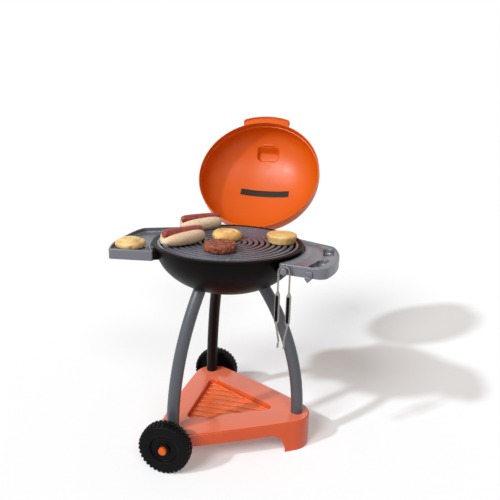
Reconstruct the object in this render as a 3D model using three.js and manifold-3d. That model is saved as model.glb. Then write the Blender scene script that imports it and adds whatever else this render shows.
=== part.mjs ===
// A toy kettle barbecue: a black bowl on three curved legs, an orange base shelf with two wheels and a foot,
// an orange domed lid hinged at the back, a slotted grate, two side trays, tongs on a peg and play food.
// Millimetres, +Z up. The user stands on the -Y side and the lid's hinge is on the +Y side.
import * as THREE from "three";
import { mergeVertices } from "three/addons/utils/BufferGeometryUtils.js";
import Module from "manifold-3d";

const wasm = await Module();
wasm.setup();

// Driving sizes. The bowl's axis is the line x = 0, y = 0 and the floor is z = 0.
const rimHeight = 548.5; // top of the bowl's rim
const bowlRadius = 188; // outside of the bowl's wall at the rim
const bowlDepth = 129; // from the rim down to the lowest point outside
const shelfHeight = 88; // top of the base shelf
const legCircle = 195; // radius of the circle that the legs stand on
const baseShift = 8; // how far that circle's centre lies right of the bowl's axis
const legRadius = 16;
const wheelRadius = 67.5;
const wheelWidth = 34;
const lidDepth = 118; // from the lid's rim to its top
const trayReach = 91; // width of a side tray, measured straight out sideways
const openAngle = THREE.MathUtils.degToRad(128.4); // how far the lid stands open in the photograph

// Clearances
const fitGap = 0.35; // between pieces that touch
const cutExtra = 5; // how far a cutting solid runs past what it cuts
const weldReach = 1e-4; // corners closer than this are one

// Bowl
const bowlWall = 3;
const bowlCurvePower = 2.1;
const rimFlange = 7; // how far the rim stands out from the wall
const flangeThickness = 5;
const rimWidth = 5; // from the outside of the wall to the grate's opening
const rimEdge = 1.2; // chamfer of the rim's outer edge
const seatWidth = 7; // ledge that the grate rests on
const seatThickness = 4;

// Grate
const grateGap = 1;
const grateDrop = 1; // how far the grate lies below the rim
const grateThickness = 6;
const grateSlots = 11;
const slotWidth = 6;
const grateHub = 9; // radius of the middle, up to where the rings' spacing starts
const grateBorder = 7; // plain ring at the edge
const spokeWidth = 10;
const spokes = 3;
const spokeTurn = THREE.MathUtils.degToRad(-75);

// Legs and their sockets
const legWall = 2.6;
const legTopShare = 0.537; // where the legs meet the bowl, as a share of its radius
const legTopDrop = 7.5; // how far below the bowl's skin the curve ends
const socketDepth = 28;
const socketWall = 3.4;
const legBelowAxle = 15;

// Base shelf
const cornerRadius = 58;
const wheelCornerInset = 31.5; // from a wheel leg to the centre of its corner's arc
const footCornerInset = 23;
const edgeBulge = 4;
const shelfWall = 3;
const shelfFillet = 5;
const skirtHeight = 33;
const archRadiusX = 36;
const archInset = 17; // from the right leg back to the end of the arch
const recessRadius = 16;
const recessBackInset = 56; // from the shelf's straight back edge to the recess
const recessTipInset = 72; // from the right leg to the tip of the recess
const recessWideShare = 0.66; // width of the recess as a share of the corner arcs' spacing
const recessDepth = 10;
const ribCount = 9;
const ribWidth = 4;
const ribHeight = 4.5;

// Wheels and axle
const axleRadius = 4;
const wheelGap = 4; // between the shelf's side and a wheel
const shoulder = 7; // rounding of the tread's edges
const treadGrooves = 16;
const treadDepth = 3;
const treadGrooveWidth = 6;
const hubRecess = 28;
const hubRecessDepth = 8;
const hubRadius = 15;
const hubSet = 2; // how far the hub lies below the wheel's face
const wheelRim = 8;
const wheelWeb = 8;
const capRadius = 10;
const capHeight = 9;
const axleStub = 5; // length of the axle inside a cap

// Side trays
const trayGap = 3; // between the bowl's rim and a tray
const trayArcSide = 20; // how far the centre of a tray's outer edge lies from the bowl's axis, sideways
const trayArcForward = 33; // and forward
const trayDrop = 9.2; // how far a tray lies below the rim
const trayHeight = 25.9;
const trayWall = 3;
const trayRim = 5;
const trayFrontShare = 0.5086; // distance of the front edge from the axis, as a share of the inner radius
const trayBackShare = 0.9586;
const trayFrontTurn = THREE.MathUtils.degToRad(8.5);
const trayBackTurn = THREE.MathUtils.degToRad(27.6);
const sharpCorner = 8;
const roundCorner = 24;
const backCorner = 26;
const innerCorner = 5;
const leftDishDepth = 8;
const rightDishDepth = 6;
const backRise = 6; // how much higher the left tray's back wall stands
const riseStartShare = -0.05; // where that rise starts and ends, as shares of the outer edge's radius
const riseEndShare = 0.25;
const pocketWidth = 26;
const pocketDepth = 14;
const pocketTrayShare = 0.67; // how far out across a tray the pockets lie
const pocketLength = 74;
const pocketTurns = [-18.4, 5].map(THREE.MathUtils.degToRad);
const lugHeight = 15;
const lugTurns = [-32, 29].map(THREE.MathUtils.degToRad);
const screwRise = 8; // of the screws above the trays' lower edge
const lugWidth = 26;
const screwRadius = 2;
const screwHead = 4.2;
const screwHeadThickness = 2.6;
const screwLength = 9;

// Peg and hook on the right tray's front
const pegRadius = 8.5;
const pegLength = 22;
const pegNeck = 4;
const pegRound = 2.5;
const pegPlaceShare = 0.231; // places along the tray's front, as shares of its reach
const hookPlaceShare = 0.857;
const hookWidth = 15;
const hookDepth = 12;
const hookPlate = 3;
const hookRise = 11;
const hookDrop = 8; // how far the hook's point hangs below the tray
const hookHeight = 24;

// Lid
const lidInset = 1.5; // how much smaller the lid is than the bowl's wall
const lidWall = 2.5;
const lidBand = 25.6; // height of the straight band above the rim
const lidStepHeight = 18;
const lidStep = 3;
const lidRest = 0.5; // gap under the closed lid's rim
const pocketHalfWidth = 33;
const pocketSlope = 44; // length of the lid's pocket down the dome
const pocketPlaceShare = 0.68; // its middle, as a share of the lid's radius
const lidPocketDepth = 12;
const stripLength = 158;
const stripWidth = 22;
const stripShift = 7; // how far its middle lies right of the lid's
const stripThickness = 0.8;
const handleWidth = 152;
const handleReach = 25;
const handleThickness = 13;
const handleRaise = 2;
const handleEndShare = 0.93; // length of the handle's outer edge, as a share of its width

// Hinge
const hingeOut = 10; // pin's distance outside the bowl's wall
const hingeDrop = 10.5; // pin's distance below the rim
const hingeSpread = 48; // distance of each arm from the middle
const armWidth = 8;
const armEye = 6;
const earWidth = 4;
const earEye = 5;
const earDrop = 26;
const hingePinRadius = 3;
const pinHead = 4.6;
const pinHeadThickness = 1.6;

// Tongs
const tongsStrip = 3;
const tongsWidth = 14;
const tongsOut = 3; // gap between the tray's face and the strip
const bowRadius = 12.5;
const bowLeg = 12;
const stemLength = 40;
const gripLength = 76;
const gripWidth = 12;
const insertWidth = 6;
const insertProud = 0.8;
const gripRound = 5;
const lowerLength = 62;
const tipWidth = 7;
const tipLength = 16;
const tipInset = 8; // how far the tips lean towards each other

// Play food
const bunRadius = 40;
const bunHeight = 23;
const pattyRadius = 43;
const pattyHeight = 22;
const rollHalfLength = 61;
const rollHalfWidth = 24;
const rollHeight = 41;
const rollFlat = 3; // how much of the roll's underside is cut flat
const rollPower = 2.6;
const sausageRadius = 10;
const sausageHalfLength = 57;
const sausagePower = 5;
const sausageProud = 5; // how far the sausage stands above its roll
const bunMiddleShares = [-0.06, 0.14]; // places on the grate, as shares of its radius
const bunRightShares = [0.733, 0.206];
const pattyShares = [0.03, -0.505];
const rollFrontShares = [-0.53, -0.39];
const rollRearShares = [-0.582, 0.544];
const rollFrontTurn = THREE.MathUtils.degToRad(53);
const rollRearTurn = THREE.MathUtils.degToRad(44);
const bunLeftShare = 0.569; // how far out across the left tray the third bun lies
const bunLeftTurn = THREE.MathUtils.degToRad(197.7);
const bunRightRadius = 40;
const bunRightHeight = 24;
const bunProfileShares = [[0.84, 0], [0.97, 0.16], [1, 0.38], [0.94, 0.68], [0.76, 0.92], [0.48, 1]];
const dimpleEdgeShare = 0.24;
const pattyProfileShares = [[0.9, 0], [1, 0.3], [1, 0.7], [0.9, 1]];

// Worked out from the sizes above
const rimRadius = bowlRadius + rimFlange;
const mouthRadius = bowlRadius - rimWidth;
const grateRadius = mouthRadius - grateGap;
const grateTop = rimHeight - grateDrop;
const trayInner = rimRadius + trayGap;
const trayArcRadius = trayInner + trayReach - trayArcSide; // of a tray's outer edge
const trayTop = rimHeight - trayDrop;
const trayBottom = trayTop - trayHeight;
const lidRadius = bowlRadius - lidInset;
const hingeY = bowlRadius + hingeOut;
const hingeZ = rimHeight - hingeDrop;
const axleZ = wheelRadius;
const legTurns = [-120, 120, 0].map(THREE.MathUtils.degToRad); // front left, rear left, right
const legNames = ["leg_front_left", "leg_rear_left", "leg_right"];
const legFeet = legTurns.map(
  (a) => new THREE.Vector2(baseShift + legCircle * Math.cos(a), legCircle * Math.sin(a)),
);
const cornerInsets = [wheelCornerInset, wheelCornerInset, footCornerInset];
const axleX = legFeet[0].x;
const shelfSide = (legCircle - wheelCornerInset) * Math.sin(legTurns[1]) + cornerRadius;
const wheelInner = shelfSide + wheelGap;
const wheelOuter = wheelInner + wheelWidth;

// Materials
const paint = (color, roughness, metalness = 0) =>
  new THREE.MeshStandardMaterial({ color, roughness, metalness });
const blackPlastic = paint(0x1a1716, 0.35);
const orangePlastic = paint(0xe2501f, 0.3);
const greyPlastic = paint(0x7a7a80, 0.4);
const legGrey = paint(0x66666b, 0.4);
const legBlack = paint(0x171412, 0.3);
const grateGrey = paint(0x6a6468, 0.45);
const stripDark = paint(0x3a302b, 0.6);
const steel = paint(0x9a9a9c, 0.3, 1);
const silverPlastic = paint(0xa9a6a2, 0.35, 0.4);
const bunTan = paint(0xe6b26a, 0.7);
const rollTan = paint(0xdcb997, 0.75);
const sausageRed = paint(0x93443a, 0.5);
const pattyBrown = paint(0xa0604a, 0.8);

// Turns a closed geometry into a solid, with its shared corners merged and its faces pointing out.
function solidOf(geometry) {
  const bare = geometry.index ? geometry.toNonIndexed() : geometry.clone();
  const corners = new THREE.BufferGeometry().setAttribute("position", bare.getAttribute("position"));
  const merged = mergeVertices(corners, weldReach);
  const p = merged.attributes.position;
  const triVerts = new Uint32Array(merged.index.array);
  const corner = (i) => new THREE.Vector3().fromBufferAttribute(p, triVerts[i]);
  let volume = 0;
  for (let i = 0; i < triVerts.length; i += 3) volume += corner(i).dot(corner(i + 1).cross(corner(i + 2)));
  if (volume < 0)
    for (let i = 0; i < triVerts.length; i += 3) {
      [triVerts[i + 1], triVerts[i + 2]] = [triVerts[i + 2], triVerts[i + 1]];
    }
  return new wasm.Manifold(new wasm.Mesh({ numProp: 3, vertProperties: p.array, triVerts }));
}

function geometryOf(solid) {
  const mesh = solid.getMesh();
  const geometry = new THREE.BufferGeometry();
  geometry.setAttribute("position", new THREE.BufferAttribute(mesh.vertProperties.slice(), 3));
  geometry.setIndex(new THREE.BufferAttribute(mesh.triVerts.slice(), 1));
  geometry.computeVertexNormals();
  return geometry;
}

// A profile of [radius, height] pairs turned round the Z axis.
function turned(profile, segments) {
  const points = profile.map(([r, h]) => new THREE.Vector2(r, h));
  return solidOf(new THREE.LatheGeometry(points, segments).rotateX(Math.PI / 2));
}

// A flat outline pushed up from one height to another.
function prism(outline, bottom, top, holes = []) {
  const shape = new THREE.Shape(outline);
  for (const hole of holes) shape.holes.push(new THREE.Path(hole));
  const geometry = new THREE.ExtrudeGeometry(shape, { depth: top - bottom, bevelEnabled: false });
  return solidOf(geometry.translate(0, 0, bottom));
}

// A side view of [y, z] pairs pushed out along X.
function sidePrism(outline, left, right) {
  const points = outline.map(([y, z]) => new THREE.Vector2(y, z));
  const depth = right - left;
  const geometry = new THREE.ExtrudeGeometry(new THREE.Shape(points), { depth, bevelEnabled: false });
  geometry.rotateY(Math.PI / 2).rotateX(Math.PI / 2);
  return solidOf(geometry.translate(left, 0, 0));
}

function block(x0, x1, y0, y1, z0, z1) {
  const geometry = new THREE.BoxGeometry(x1 - x0, y1 - y0, z1 - z0);
  return solidOf(geometry.translate((x0 + x1) / 2, (y0 + y1) / 2, (z0 + z1) / 2));
}

function rod(start, end, radius, sides = 16) {
  const along = new THREE.Vector3().subVectors(end, start);
  const geometry = new THREE.CylinderGeometry(radius, radius, along.length(), sides);
  const direction = along.clone().normalize();
  const turn = new THREE.Quaternion().setFromUnitVectors(new THREE.Vector3(0, 1, 0), direction);
  geometry.applyQuaternion(turn);
  const middle = start.clone().add(end).multiplyScalar(0.5);
  return solidOf(geometry.translate(middle.x, middle.y, middle.z));
}

const at = (x, y, z) => new THREE.Vector3(x, y, z);
const flat = (x, y) => new THREE.Vector2(x, y);

function arc(centre, radius, from, to, steps) {
  return Array.from({ length: steps + 1 }, (_, i) => {
    const a = from + ((to - from) * i) / steps;
    return flat(centre.x + radius * Math.cos(a), centre.y + radius * Math.sin(a));
  });
}

// Rounds the corners of an outline that carry a radius.
function rounded(corners, steps = 4) {
  const count = corners.length;
  return corners.flatMap(({ point, radius }, i) => {
    if (!radius) return [point];
    const before = corners[(i + count - 1) % count].point;
    const after = corners[(i + 1) % count].point;
    const back = before.clone().sub(point).normalize();
    const ahead = after.clone().sub(point).normalize();
    const half = Math.acos(THREE.MathUtils.clamp(back.dot(ahead), -1, 1)) / 2;
    const reach = radius / Math.tan(half);
    const start = point.clone().addScaledVector(back, reach);
    const end = point.clone().addScaledVector(ahead, reach);
    const inwards = back.clone().add(ahead).normalize();
    const centre = point.clone().addScaledVector(inwards, radius / Math.sin(half));
    const from = start.clone().sub(centre).angle();
    let sweep = end.clone().sub(centre).angle() - from;
    if (sweep > Math.PI) sweep -= 2 * Math.PI;
    if (sweep < -Math.PI) sweep += 2 * Math.PI;
    return arc(centre, radius, from, from + sweep, steps);
  });
}

// The outline round three or more equal circles, with its straight sides bulged a little.
function hullOutline(centres, radius, bulge, arcSteps = 7, sideSteps = 4) {
  const count = centres.length;
  const normals = centres.map((c, i) => centres[(i + 1) % count].clone().sub(c).angle() - Math.PI / 2);
  const points = [];
  centres.forEach((c, i) => {
    const from = normals[(i + count - 1) % count];
    let to = normals[i];
    while (to < from) to += 2 * Math.PI;
    points.push(...arc(c, radius, from, to, arcSteps));
    const start = points[points.length - 1];
    const normal = flat(Math.cos(normals[i]), Math.sin(normals[i]));
    const end = centres[(i + 1) % count].clone().addScaledVector(normal, radius);
    for (let k = 1; k < sideSteps; k += 1) {
      const t = k / sideSteps;
      points.push(start.clone().lerp(end, t).addScaledVector(normal, 4 * bulge * t * (1 - t)));
    }
  });
  return points;
}

// A closed body through stacked outlines that have the same number of points.
function loft(levels) {
  const count = levels[0].outline.length;
  const positions = levels.flatMap(({ outline, z }) => outline.flatMap((p) => [p.x, p.y, z]));
  const index = [];
  for (let k = 0; k + 1 < levels.length; k += 1)
    for (let i = 0; i < count; i += 1) {
      const a = k * count + i;
      const b = k * count + ((i + 1) % count);
      index.push(a, b, b + count, a, b + count, a + count);
    }
  const cap = (level, flip) => {
    for (const [a, b, c] of THREE.ShapeUtils.triangulateShape(levels[level].outline, [])) {
      const base = level * count;
      index.push(...(flip ? [base + a, base + c, base + b] : [base + a, base + b, base + c]));
    }
  };
  cap(0, true);
  cap(levels.length - 1, false);
  const geometry = new THREE.BufferGeometry();
  geometry.setAttribute("position", new THREE.Float32BufferAttribute(positions, 3));
  geometry.setIndex(index);
  return solidOf(geometry);
}

function piece(name, solid, material) {
  const mesh = new THREE.Mesh(geometryOf(solid), material);
  mesh.name = name;
  return mesh;
}

// Half of a superellipse from the rim's level down to the axis, as [radius, depth] pairs.
function bowlCurve(radius, depth, startDepth, steps) {
  const power = 2 / bowlCurvePower;
  const start = Math.asin(Math.pow(Math.max(startDepth, 0) / depth, 1 / power));
  return Array.from({ length: steps + 1 }, (_, i) => {
    const t = start + ((Math.PI / 2 - start) * i) / steps;
    const r = i === steps ? 0 : radius * Math.pow(Math.cos(t), power);
    return [r, depth * Math.pow(Math.sin(t), power)];
  });
}

const bowlDepthAt = (r) =>
  bowlDepth * Math.pow(1 - Math.pow(r / bowlRadius, bowlCurvePower), 1 / bowlCurvePower);

// A leg's middle line: upright through the shelf, one arc inwards, and a straight end in the bowl's socket.
class LegLine extends THREE.Curve {
  constructor(foot, turn) {
    super();
    const top = flat(Math.cos(turn), Math.sin(turn)).multiplyScalar(legTopShare * bowlRadius);
    const inward = top.clone().sub(foot);
    this.foot = foot;
    this.inward = inward.clone().normalize();
    this.bottom = axleZ - legBelowAxle;
    this.rise = rimHeight - bowlDepthAt(top.length()) - legTopDrop - shelfHeight;
    this.bend = (this.rise ** 2 + inward.length() ** 2) / (2 * inward.length());
    this.sweep = Math.asin(this.rise / this.bend);
    this.lengths = [shelfHeight - this.bottom, this.bend * this.sweep, socketDepth];
  }

  place(inward, z) {
    return at(this.foot.x + this.inward.x * inward, this.foot.y + this.inward.y * inward, z);
  }

  along(distance) {
    const [upright, curved] = this.lengths;
    if (distance < upright) return this.place(0, this.bottom + distance);
    const a = Math.min((distance - upright) / this.bend, this.sweep);
    const past = Math.max(distance - upright - curved, 0);
    const inward = this.bend * (1 - Math.cos(a)) + past * Math.sin(a);
    return this.place(inward, shelfHeight + this.bend * Math.sin(a) + past * Math.cos(a));
  }

  get length() {
    return this.lengths.reduce((sum, part) => sum + part);
  }

  getPoint(t, target = new THREE.Vector3()) {
    return target.copy(this.along(t * this.length));
  }

  get socketStart() {
    return this.along(this.lengths[0] + this.lengths[1]);
  }

  get direction() {
    return this.along(this.length).sub(this.socketStart).normalize();
  }
}

const legLines = legFeet.map((foot, i) => new LegLine(foot, legTurns[i]));

function legs() {
  const sides = 12;
  const steps = 9;
  return legLines.map((line, i) => {
    const shape = new THREE.Shape(arc(flat(0, 0), legRadius, 0, 2 * Math.PI, sides).slice(0, sides));
    const hollow = arc(flat(0, 0), legRadius - legWall, 0, 2 * Math.PI, sides);
    shape.holes.push(new THREE.Path(hollow.slice(0, sides)));
    let tube = solidOf(new THREE.ExtrudeGeometry(shape, { steps, extrudePath: line, bevelEnabled: false }));
    if (line.foot.x === axleX) tube = tube.subtract(axleHole());
    return piece(legNames[i], tube, i === 1 ? legBlack : legGrey);
  });
}

const axleHole = () =>
  rod(at(axleX, -wheelOuter, axleZ), at(axleX, wheelOuter, axleZ), axleRadius + fitGap, 16);

// The bowl's outside, grown by a clearance, to trim what is fastened to it.
function bowlEnvelope(growth) {
  const curve = bowlCurve(bowlRadius + growth, bowlDepth + growth, 0, 12);
  const profile = curve.reverse().map(([r, d]) => [r, rimHeight - d]);
  return turned([...profile, [bowlRadius + growth, rimHeight + cutExtra], [0, rimHeight + cutExtra]], 40);
}

function fireBowl() {
  const seatZ = grateTop - grateThickness - fitGap;
  const inner = bowlCurve(bowlRadius - bowlWall, bowlDepth - bowlWall, rimHeight - seatZ + seatThickness, 8);
  const outer = bowlCurve(bowlRadius, bowlDepth, flangeThickness, 9);
  const ledge = [
    [mouthRadius, seatZ],
    [mouthRadius - seatWidth, seatZ],
    [mouthRadius - seatWidth, seatZ - seatThickness],
    ...inner.map(([r, d]) => [r, rimHeight - d]),
  ];
  const shell = turned(
    [
      ...outer.reverse().map(([r, d]) => [r, rimHeight - d]),
      [rimRadius, rimHeight - flangeThickness],
      [rimRadius, rimHeight - rimEdge],
      [rimRadius - rimEdge, rimHeight],
      [mouthRadius, rimHeight],
      ...ledge,
    ],
    40,
  );
  let bowl = shell;
  for (const line of legLines) {
    const far = line.along(line.length).addScaledVector(line.direction, fitGap + socketWall);
    bowl = bowl.add(rod(line.socketStart, far, legRadius + fitGap + socketWall));
  }
  for (const line of legLines) {
    const near = line.socketStart.clone().addScaledVector(line.direction, -cutExtra);
    const far = line.along(line.length).addScaledVector(line.direction, fitGap);
    bowl = bowl.subtract(rod(near, far, legRadius + fitGap, 24));
  }
  const above = rimHeight + cutExtra;
  const inside = turned([[0, above], [mouthRadius, above], ...ledge], 40);
  for (const lug of [...trayLugs(), ...hingeEars()]) bowl = bowl.add(lug.subtract(inside));
  for (const hole of screwHoles()) bowl = bowl.subtract(hole);
  return piece("fire_bowl", bowl, blackPlastic);
}

// Blocks on the bowl's wall that the trays are screwed to.
function trayLugs() {
  const outside = trayInner + trayWall;
  const middle = trayBottom + screwRise;
  const lugs = [];
  for (const side of [1, -1]) {
    const tray = prism(trayOutline(side, -fitGap), trayBottom, trayTop);
    for (const turn of lugTurns) {
      const half = lugWidth / 2 / outside;
      const outline = [...arc(flat(0, 0), outside, turn - half, turn + half, 3)];
      outline.push(...arc(flat(0, 0), bowlRadius - seatWidth, turn + half, turn - half, 1));
      const points = outline.map((p) => flat(side * p.x, p.y));
      const lug = prism(side > 0 ? points : points.reverse(), middle - lugHeight / 2, middle + lugHeight / 2);
      lugs.push(lug.subtract(tray));
    }
  }
  return lugs;
}

// Each tray screw's axis: a point on the tray's inner wall, the outward direction and the side it is on.
function screwPlaces() {
  return [1, -1].flatMap((side) =>
    lugTurns.map((turn, i) => {
      const out = at(side * Math.cos(turn), Math.sin(turn), 0);
      const place = out.clone().multiplyScalar(trayInner + trayWall);
      place.z = trayBottom + screwRise;
      return { place, out, name: `tray_screw_${side > 0 ? "right" : "left"}_${i ? "rear" : "front"}` };
    }),
  );
}

const screwHoles = () =>
  screwPlaces().map(({ place, out }) => {
    const near = place.clone().addScaledVector(out, cutExtra);
    const far = place.clone().addScaledVector(out, -screwLength - fitGap);
    return rod(near, far, screwRadius + fitGap, 10);
  });

function trayScrews() {
  return screwPlaces().map(({ place, out, name }) => {
    const seat = place.clone().addScaledVector(out, fitGap);
    const top = seat.clone().addScaledVector(out, screwHeadThickness);
    const head = rod(seat, top, screwHead, 12);
    const shank = rod(top, place.clone().addScaledVector(out, -screwLength), screwRadius, 10);
    return piece(name, head.add(shank), steel);
  });
}

// The pair of ears that holds each hinge pin, moulded onto the bowl's wall.
function hingeEars() {
  const top = Math.min(hingeZ + earEye, rimHeight - flangeThickness);
  const inside = bowlRadius - seatWidth - rimWidth;
  const circle = arc(flat(hingeY, hingeZ), earEye, -Math.PI / 2, Math.PI / 2, 6);
  const eye = circle.map((p) => [p.x, Math.min(p.y, top)]);
  const outline = [[inside, rimHeight - earDrop - flangeThickness], ...eye, [inside, top]];
  const half = armWidth / 2 + fitGap;
  return [-1, 1].flatMap((side) =>
    [-1, 1].map((edge) => {
      const near = side * hingeSpread + edge * half;
      const far = near + edge * earWidth;
      const ear = sidePrism(outline, Math.min(near, far), Math.max(near, far));
      return ear.subtract(pinHole(side));
    }),
  );
}

const pinSpan = armWidth / 2 + fitGap + earWidth;

function pinHole(side) {
  const reach = pinSpan + cutExtra;
  const centre = side * hingeSpread;
  const start = at(centre - reach, hingeY, hingeZ);
  return rod(start, at(centre + reach, hingeY, hingeZ), hingePinRadius + fitGap, 16);
}

function hingePins() {
  return [-1, 1].map((side) => {
    const centre = side * hingeSpread;
    const outer = centre + side * (pinSpan + fitGap);
    const start = at(centre - side * pinSpan, hingeY, hingeZ);
    const shaft = rod(start, at(outer, hingeY, hingeZ), hingePinRadius, 14);
    const end = at(outer + side * pinHeadThickness, hingeY, hingeZ);
    const name = side > 0 ? "hinge_pin_right" : "hinge_pin_left";
    return piece(name, shaft.add(rod(at(outer, hingeY, hingeZ), end, pinHead, 14)), steel);
  });
}

// The grate: a disc with rings of slots between its spokes.
function cookingGrate() {
  const pitch = (grateRadius - grateBorder - grateHub) / grateSlots;
  const holes = [];
  for (let ring = 0; ring < grateSlots; ring += 1) {
    const inner = grateHub + (ring + 1) * pitch - slotWidth;
    const outer = inner + slotWidth;
    const steps = Math.max(2, Math.round((7 * outer) / grateRadius));
    for (let k = 0; k < spokes; k += 1) {
      const middle = spokeTurn + ((k + 0.5) * 2 * Math.PI) / spokes;
      const half = Math.PI / spokes;
      const insideHalf = half - Math.asin(spokeWidth / 2 / inner);
      const outsideHalf = half - Math.asin(spokeWidth / 2 / outer);
      const hole = arc(flat(0, 0), outer, middle - outsideHalf, middle + outsideHalf, steps);
      hole.push(...arc(flat(0, 0), inner, middle + insideHalf, middle - insideHalf, steps));
      holes.push(hole);
    }
  }
  const rim = arc(flat(0, 0), grateRadius, 0, 2 * Math.PI, 40).slice(0, 40);
  return piece("cooking_grate", prism(rim, grateTop - grateThickness, grateTop, holes), grateGrey);
}

// A side tray's outline, drawn in by an inset. Right side, mirrored for the left.
function trayOutline(side, inset) {
  const inner = trayInner + inset;
  const outer = trayArcRadius - inset;
  const outerCentre = flat(trayArcSide, -trayArcForward);
  const front = flat(-Math.sin(trayFrontTurn), -Math.cos(trayFrontTurn));
  const back = flat(Math.sin(trayBackTurn), Math.cos(trayBackTurn));
  const meet = (normal, share, centre, radius) => {
    const distance = share * trayInner - inset - centre.dot(normal);
    const along = flat(Math.abs(normal.y), -Math.sign(normal.y) * normal.x);
    const reach = Math.sqrt(radius ** 2 - distance ** 2);
    return centre.clone().addScaledVector(normal, distance).addScaledVector(along, reach);
  };
  const corner = (point, radius) => ({ point, radius: Math.max(radius - inset, 1) });
  const axis = flat(0, 0);
  const a = meet(front, trayFrontShare, axis, inner);
  const b = meet(front, trayFrontShare, outerCentre, outer);
  const c = meet(back, trayBackShare, outerCentre, outer);
  const d = meet(back, trayBackShare, axis, inner);
  const plain = (points) => points.map((point) => ({ point, radius: 0 }));
  const angle = (p, centre) => p.clone().sub(centre).angle();
  const upwards = (a) => (a > Math.PI ? a - 2 * Math.PI : a);
  const fromTo = (centre, radius, from, to, steps) =>
    plain(arc(centre, radius, upwards(angle(from, centre)), upwards(angle(to, centre)), steps).slice(1, -1));
  const corners = [
    corner(a, innerCorner),
    corner(b, side > 0 ? roundCorner : sharpCorner),
    ...fromTo(outerCentre, outer, b, c, 6),
    corner(c, backCorner),
    corner(d, innerCorner),
    ...fromTo(axis, inner, d, a, 10),
  ];
  const points = rounded(corners).map((p) => flat(side * p.x, p.y));
  return side > 0 ? points : points.reverse();
}

// The outline of a long pocket that follows the tray's outer edge.
function pocketOutline(turn, width) {
  const middle = trayInner + pocketTrayShare * trayReach;
  const half = (pocketLength - pocketWidth) / 2 / middle;
  const end = (a, from) => {
    const centre = flat(middle * Math.cos(a), middle * Math.sin(a));
    return arc(centre, width / 2, from, from + Math.PI, 5);
  };
  return [
    ...end(turn - half, turn - half - Math.PI),
    ...arc(flat(0, 0), middle + width / 2, turn - half, turn + half, 4).slice(1, -1),
    ...end(turn + half, turn + half),
    ...arc(flat(0, 0), middle - width / 2, turn + half, turn - half, 4).slice(1, -1),
  ];
}

function sideTray(side) {
  const dishDepth = side > 0 ? rightDishDepth : leftDishDepth;
  const rise = side > 0 ? 0 : backRise;
  const dishFloor = trayTop - dishDepth;
  let tray = prism(trayOutline(side, 0), trayBottom, trayTop + rise);
  if (rise) {
    const above = trayTop + rise + cutExtra;
    const reach = trayArcRadius + trayArcSide + cutExtra;
    const start = riseStartShare * trayArcRadius;
    const end = riseEndShare * trayArcRadius;
    const over = [[-reach, trayTop], [start, trayTop], [end, trayTop + rise], [reach, trayTop + rise]];
    tray = tray.subtract(sidePrism([...over, [reach, above], [-reach, above]], -reach, reach));
  }
  tray = tray.subtract(prism(trayOutline(side, trayRim), dishFloor, trayTop + rise + cutExtra));
  tray = tray.subtract(prism(trayOutline(side, trayWall), trayBottom - cutExtra, dishFloor - trayWall));
  if (side > 0) {
    const pocketFloor = dishFloor - pocketDepth;
    for (const turn of pocketTurns) {
      const casing = pocketOutline(turn, pocketWidth + 2 * trayWall);
      tray = tray.add(prism(casing, pocketFloor - trayWall, dishFloor));
    }
    for (const turn of pocketTurns) {
      const hollow = pocketOutline(turn, pocketWidth);
      tray = tray.subtract(prism(hollow, pocketFloor, dishFloor + cutExtra));
    }
    tray = tray.subtract(pegHole());
  }
  for (const hole of screwHoles()) tray = tray.subtract(hole);
  return piece(side > 0 ? "side_tray_right" : "side_tray_left", tray, greyPlastic);
}

// The right tray's front face: x runs along it, y points back into the tray, z is up.
function frontFace(along) {
  const distance = trayFrontShare * trayInner;
  const reach = Math.sqrt(trayInner ** 2 - distance ** 2) + along;
  const normal = flat(-Math.sin(trayFrontTurn), -Math.cos(trayFrontTurn)).multiplyScalar(distance);
  return at(normal.x + reach * Math.cos(trayFrontTurn), normal.y - reach * Math.sin(trayFrontTurn), 0);
}

const pegZ = (trayTop + trayBottom) / 2;

function faceGroup(along, height) {
  const group = new THREE.Group();
  group.position.copy(frontFace(along));
  group.position.z = height;
  group.rotation.z = -trayFrontTurn;
  return group;
}

function pegHole() {
  const spot = frontFace(pegPlaceShare * trayReach).setZ(pegZ);
  const inward = at(Math.sin(trayFrontTurn), Math.cos(trayFrontTurn), 0);
  const near = spot.clone().addScaledVector(inward, -cutExtra);
  return rod(near, spot.clone().addScaledVector(inward, trayWall + fitGap), pegNeck + fitGap, 16);
}

function toolPeg() {
  const face = -fitGap;
  const profile = [
    [0, trayWall],
    [pegNeck, trayWall],
    [pegNeck, face],
    [pegRadius, face],
    [pegRadius, pegRound - pegLength],
    [pegRadius - pegRound, -pegLength],
    [0, -pegLength],
  ];
  const peg = piece("tool_peg", turned(profile.reverse(), 20), greyPlastic);
  peg.rotation.x = -Math.PI / 2;
  return peg;
}

// A small hook with a pointed lower end, for a second tool.
function toolHook() {
  const top = trayBottom - hookDrop + hookHeight - pegZ;
  const bottom = trayBottom - hookDrop - pegZ;
  const face = -fitGap;
  const lipTop = bottom + hookPlate + hookRise;
  const side = [
    [face, top],
    [face - hookPlate, top],
    [face - hookPlate, bottom + hookPlate + hookDrop],
    [face - hookDepth + hookPlate, bottom + hookPlate + hookDrop],
    [face - hookDepth + hookPlate, lipTop],
    [face - hookDepth, lipTop],
    [face - hookDepth, bottom],
    [face, bottom],
  ];
  const half = hookWidth / 2;
  const frontView = [
    flat(-half, top),
    flat(-half, bottom + hookDrop),
    flat(0, bottom),
    flat(half, bottom + hookDrop),
    flat(half, top),
  ];
  const depth = hookDepth + 2 * cutExtra;
  const cutter = new THREE.ExtrudeGeometry(new THREE.Shape(frontView), { depth, bevelEnabled: false });
  cutter.rotateX(Math.PI / 2).translate(0, cutExtra, 0);
  return piece("tool_hook", sidePrism(side, -half, half).intersect(solidOf(cutter)), greyPlastic);
}

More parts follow.
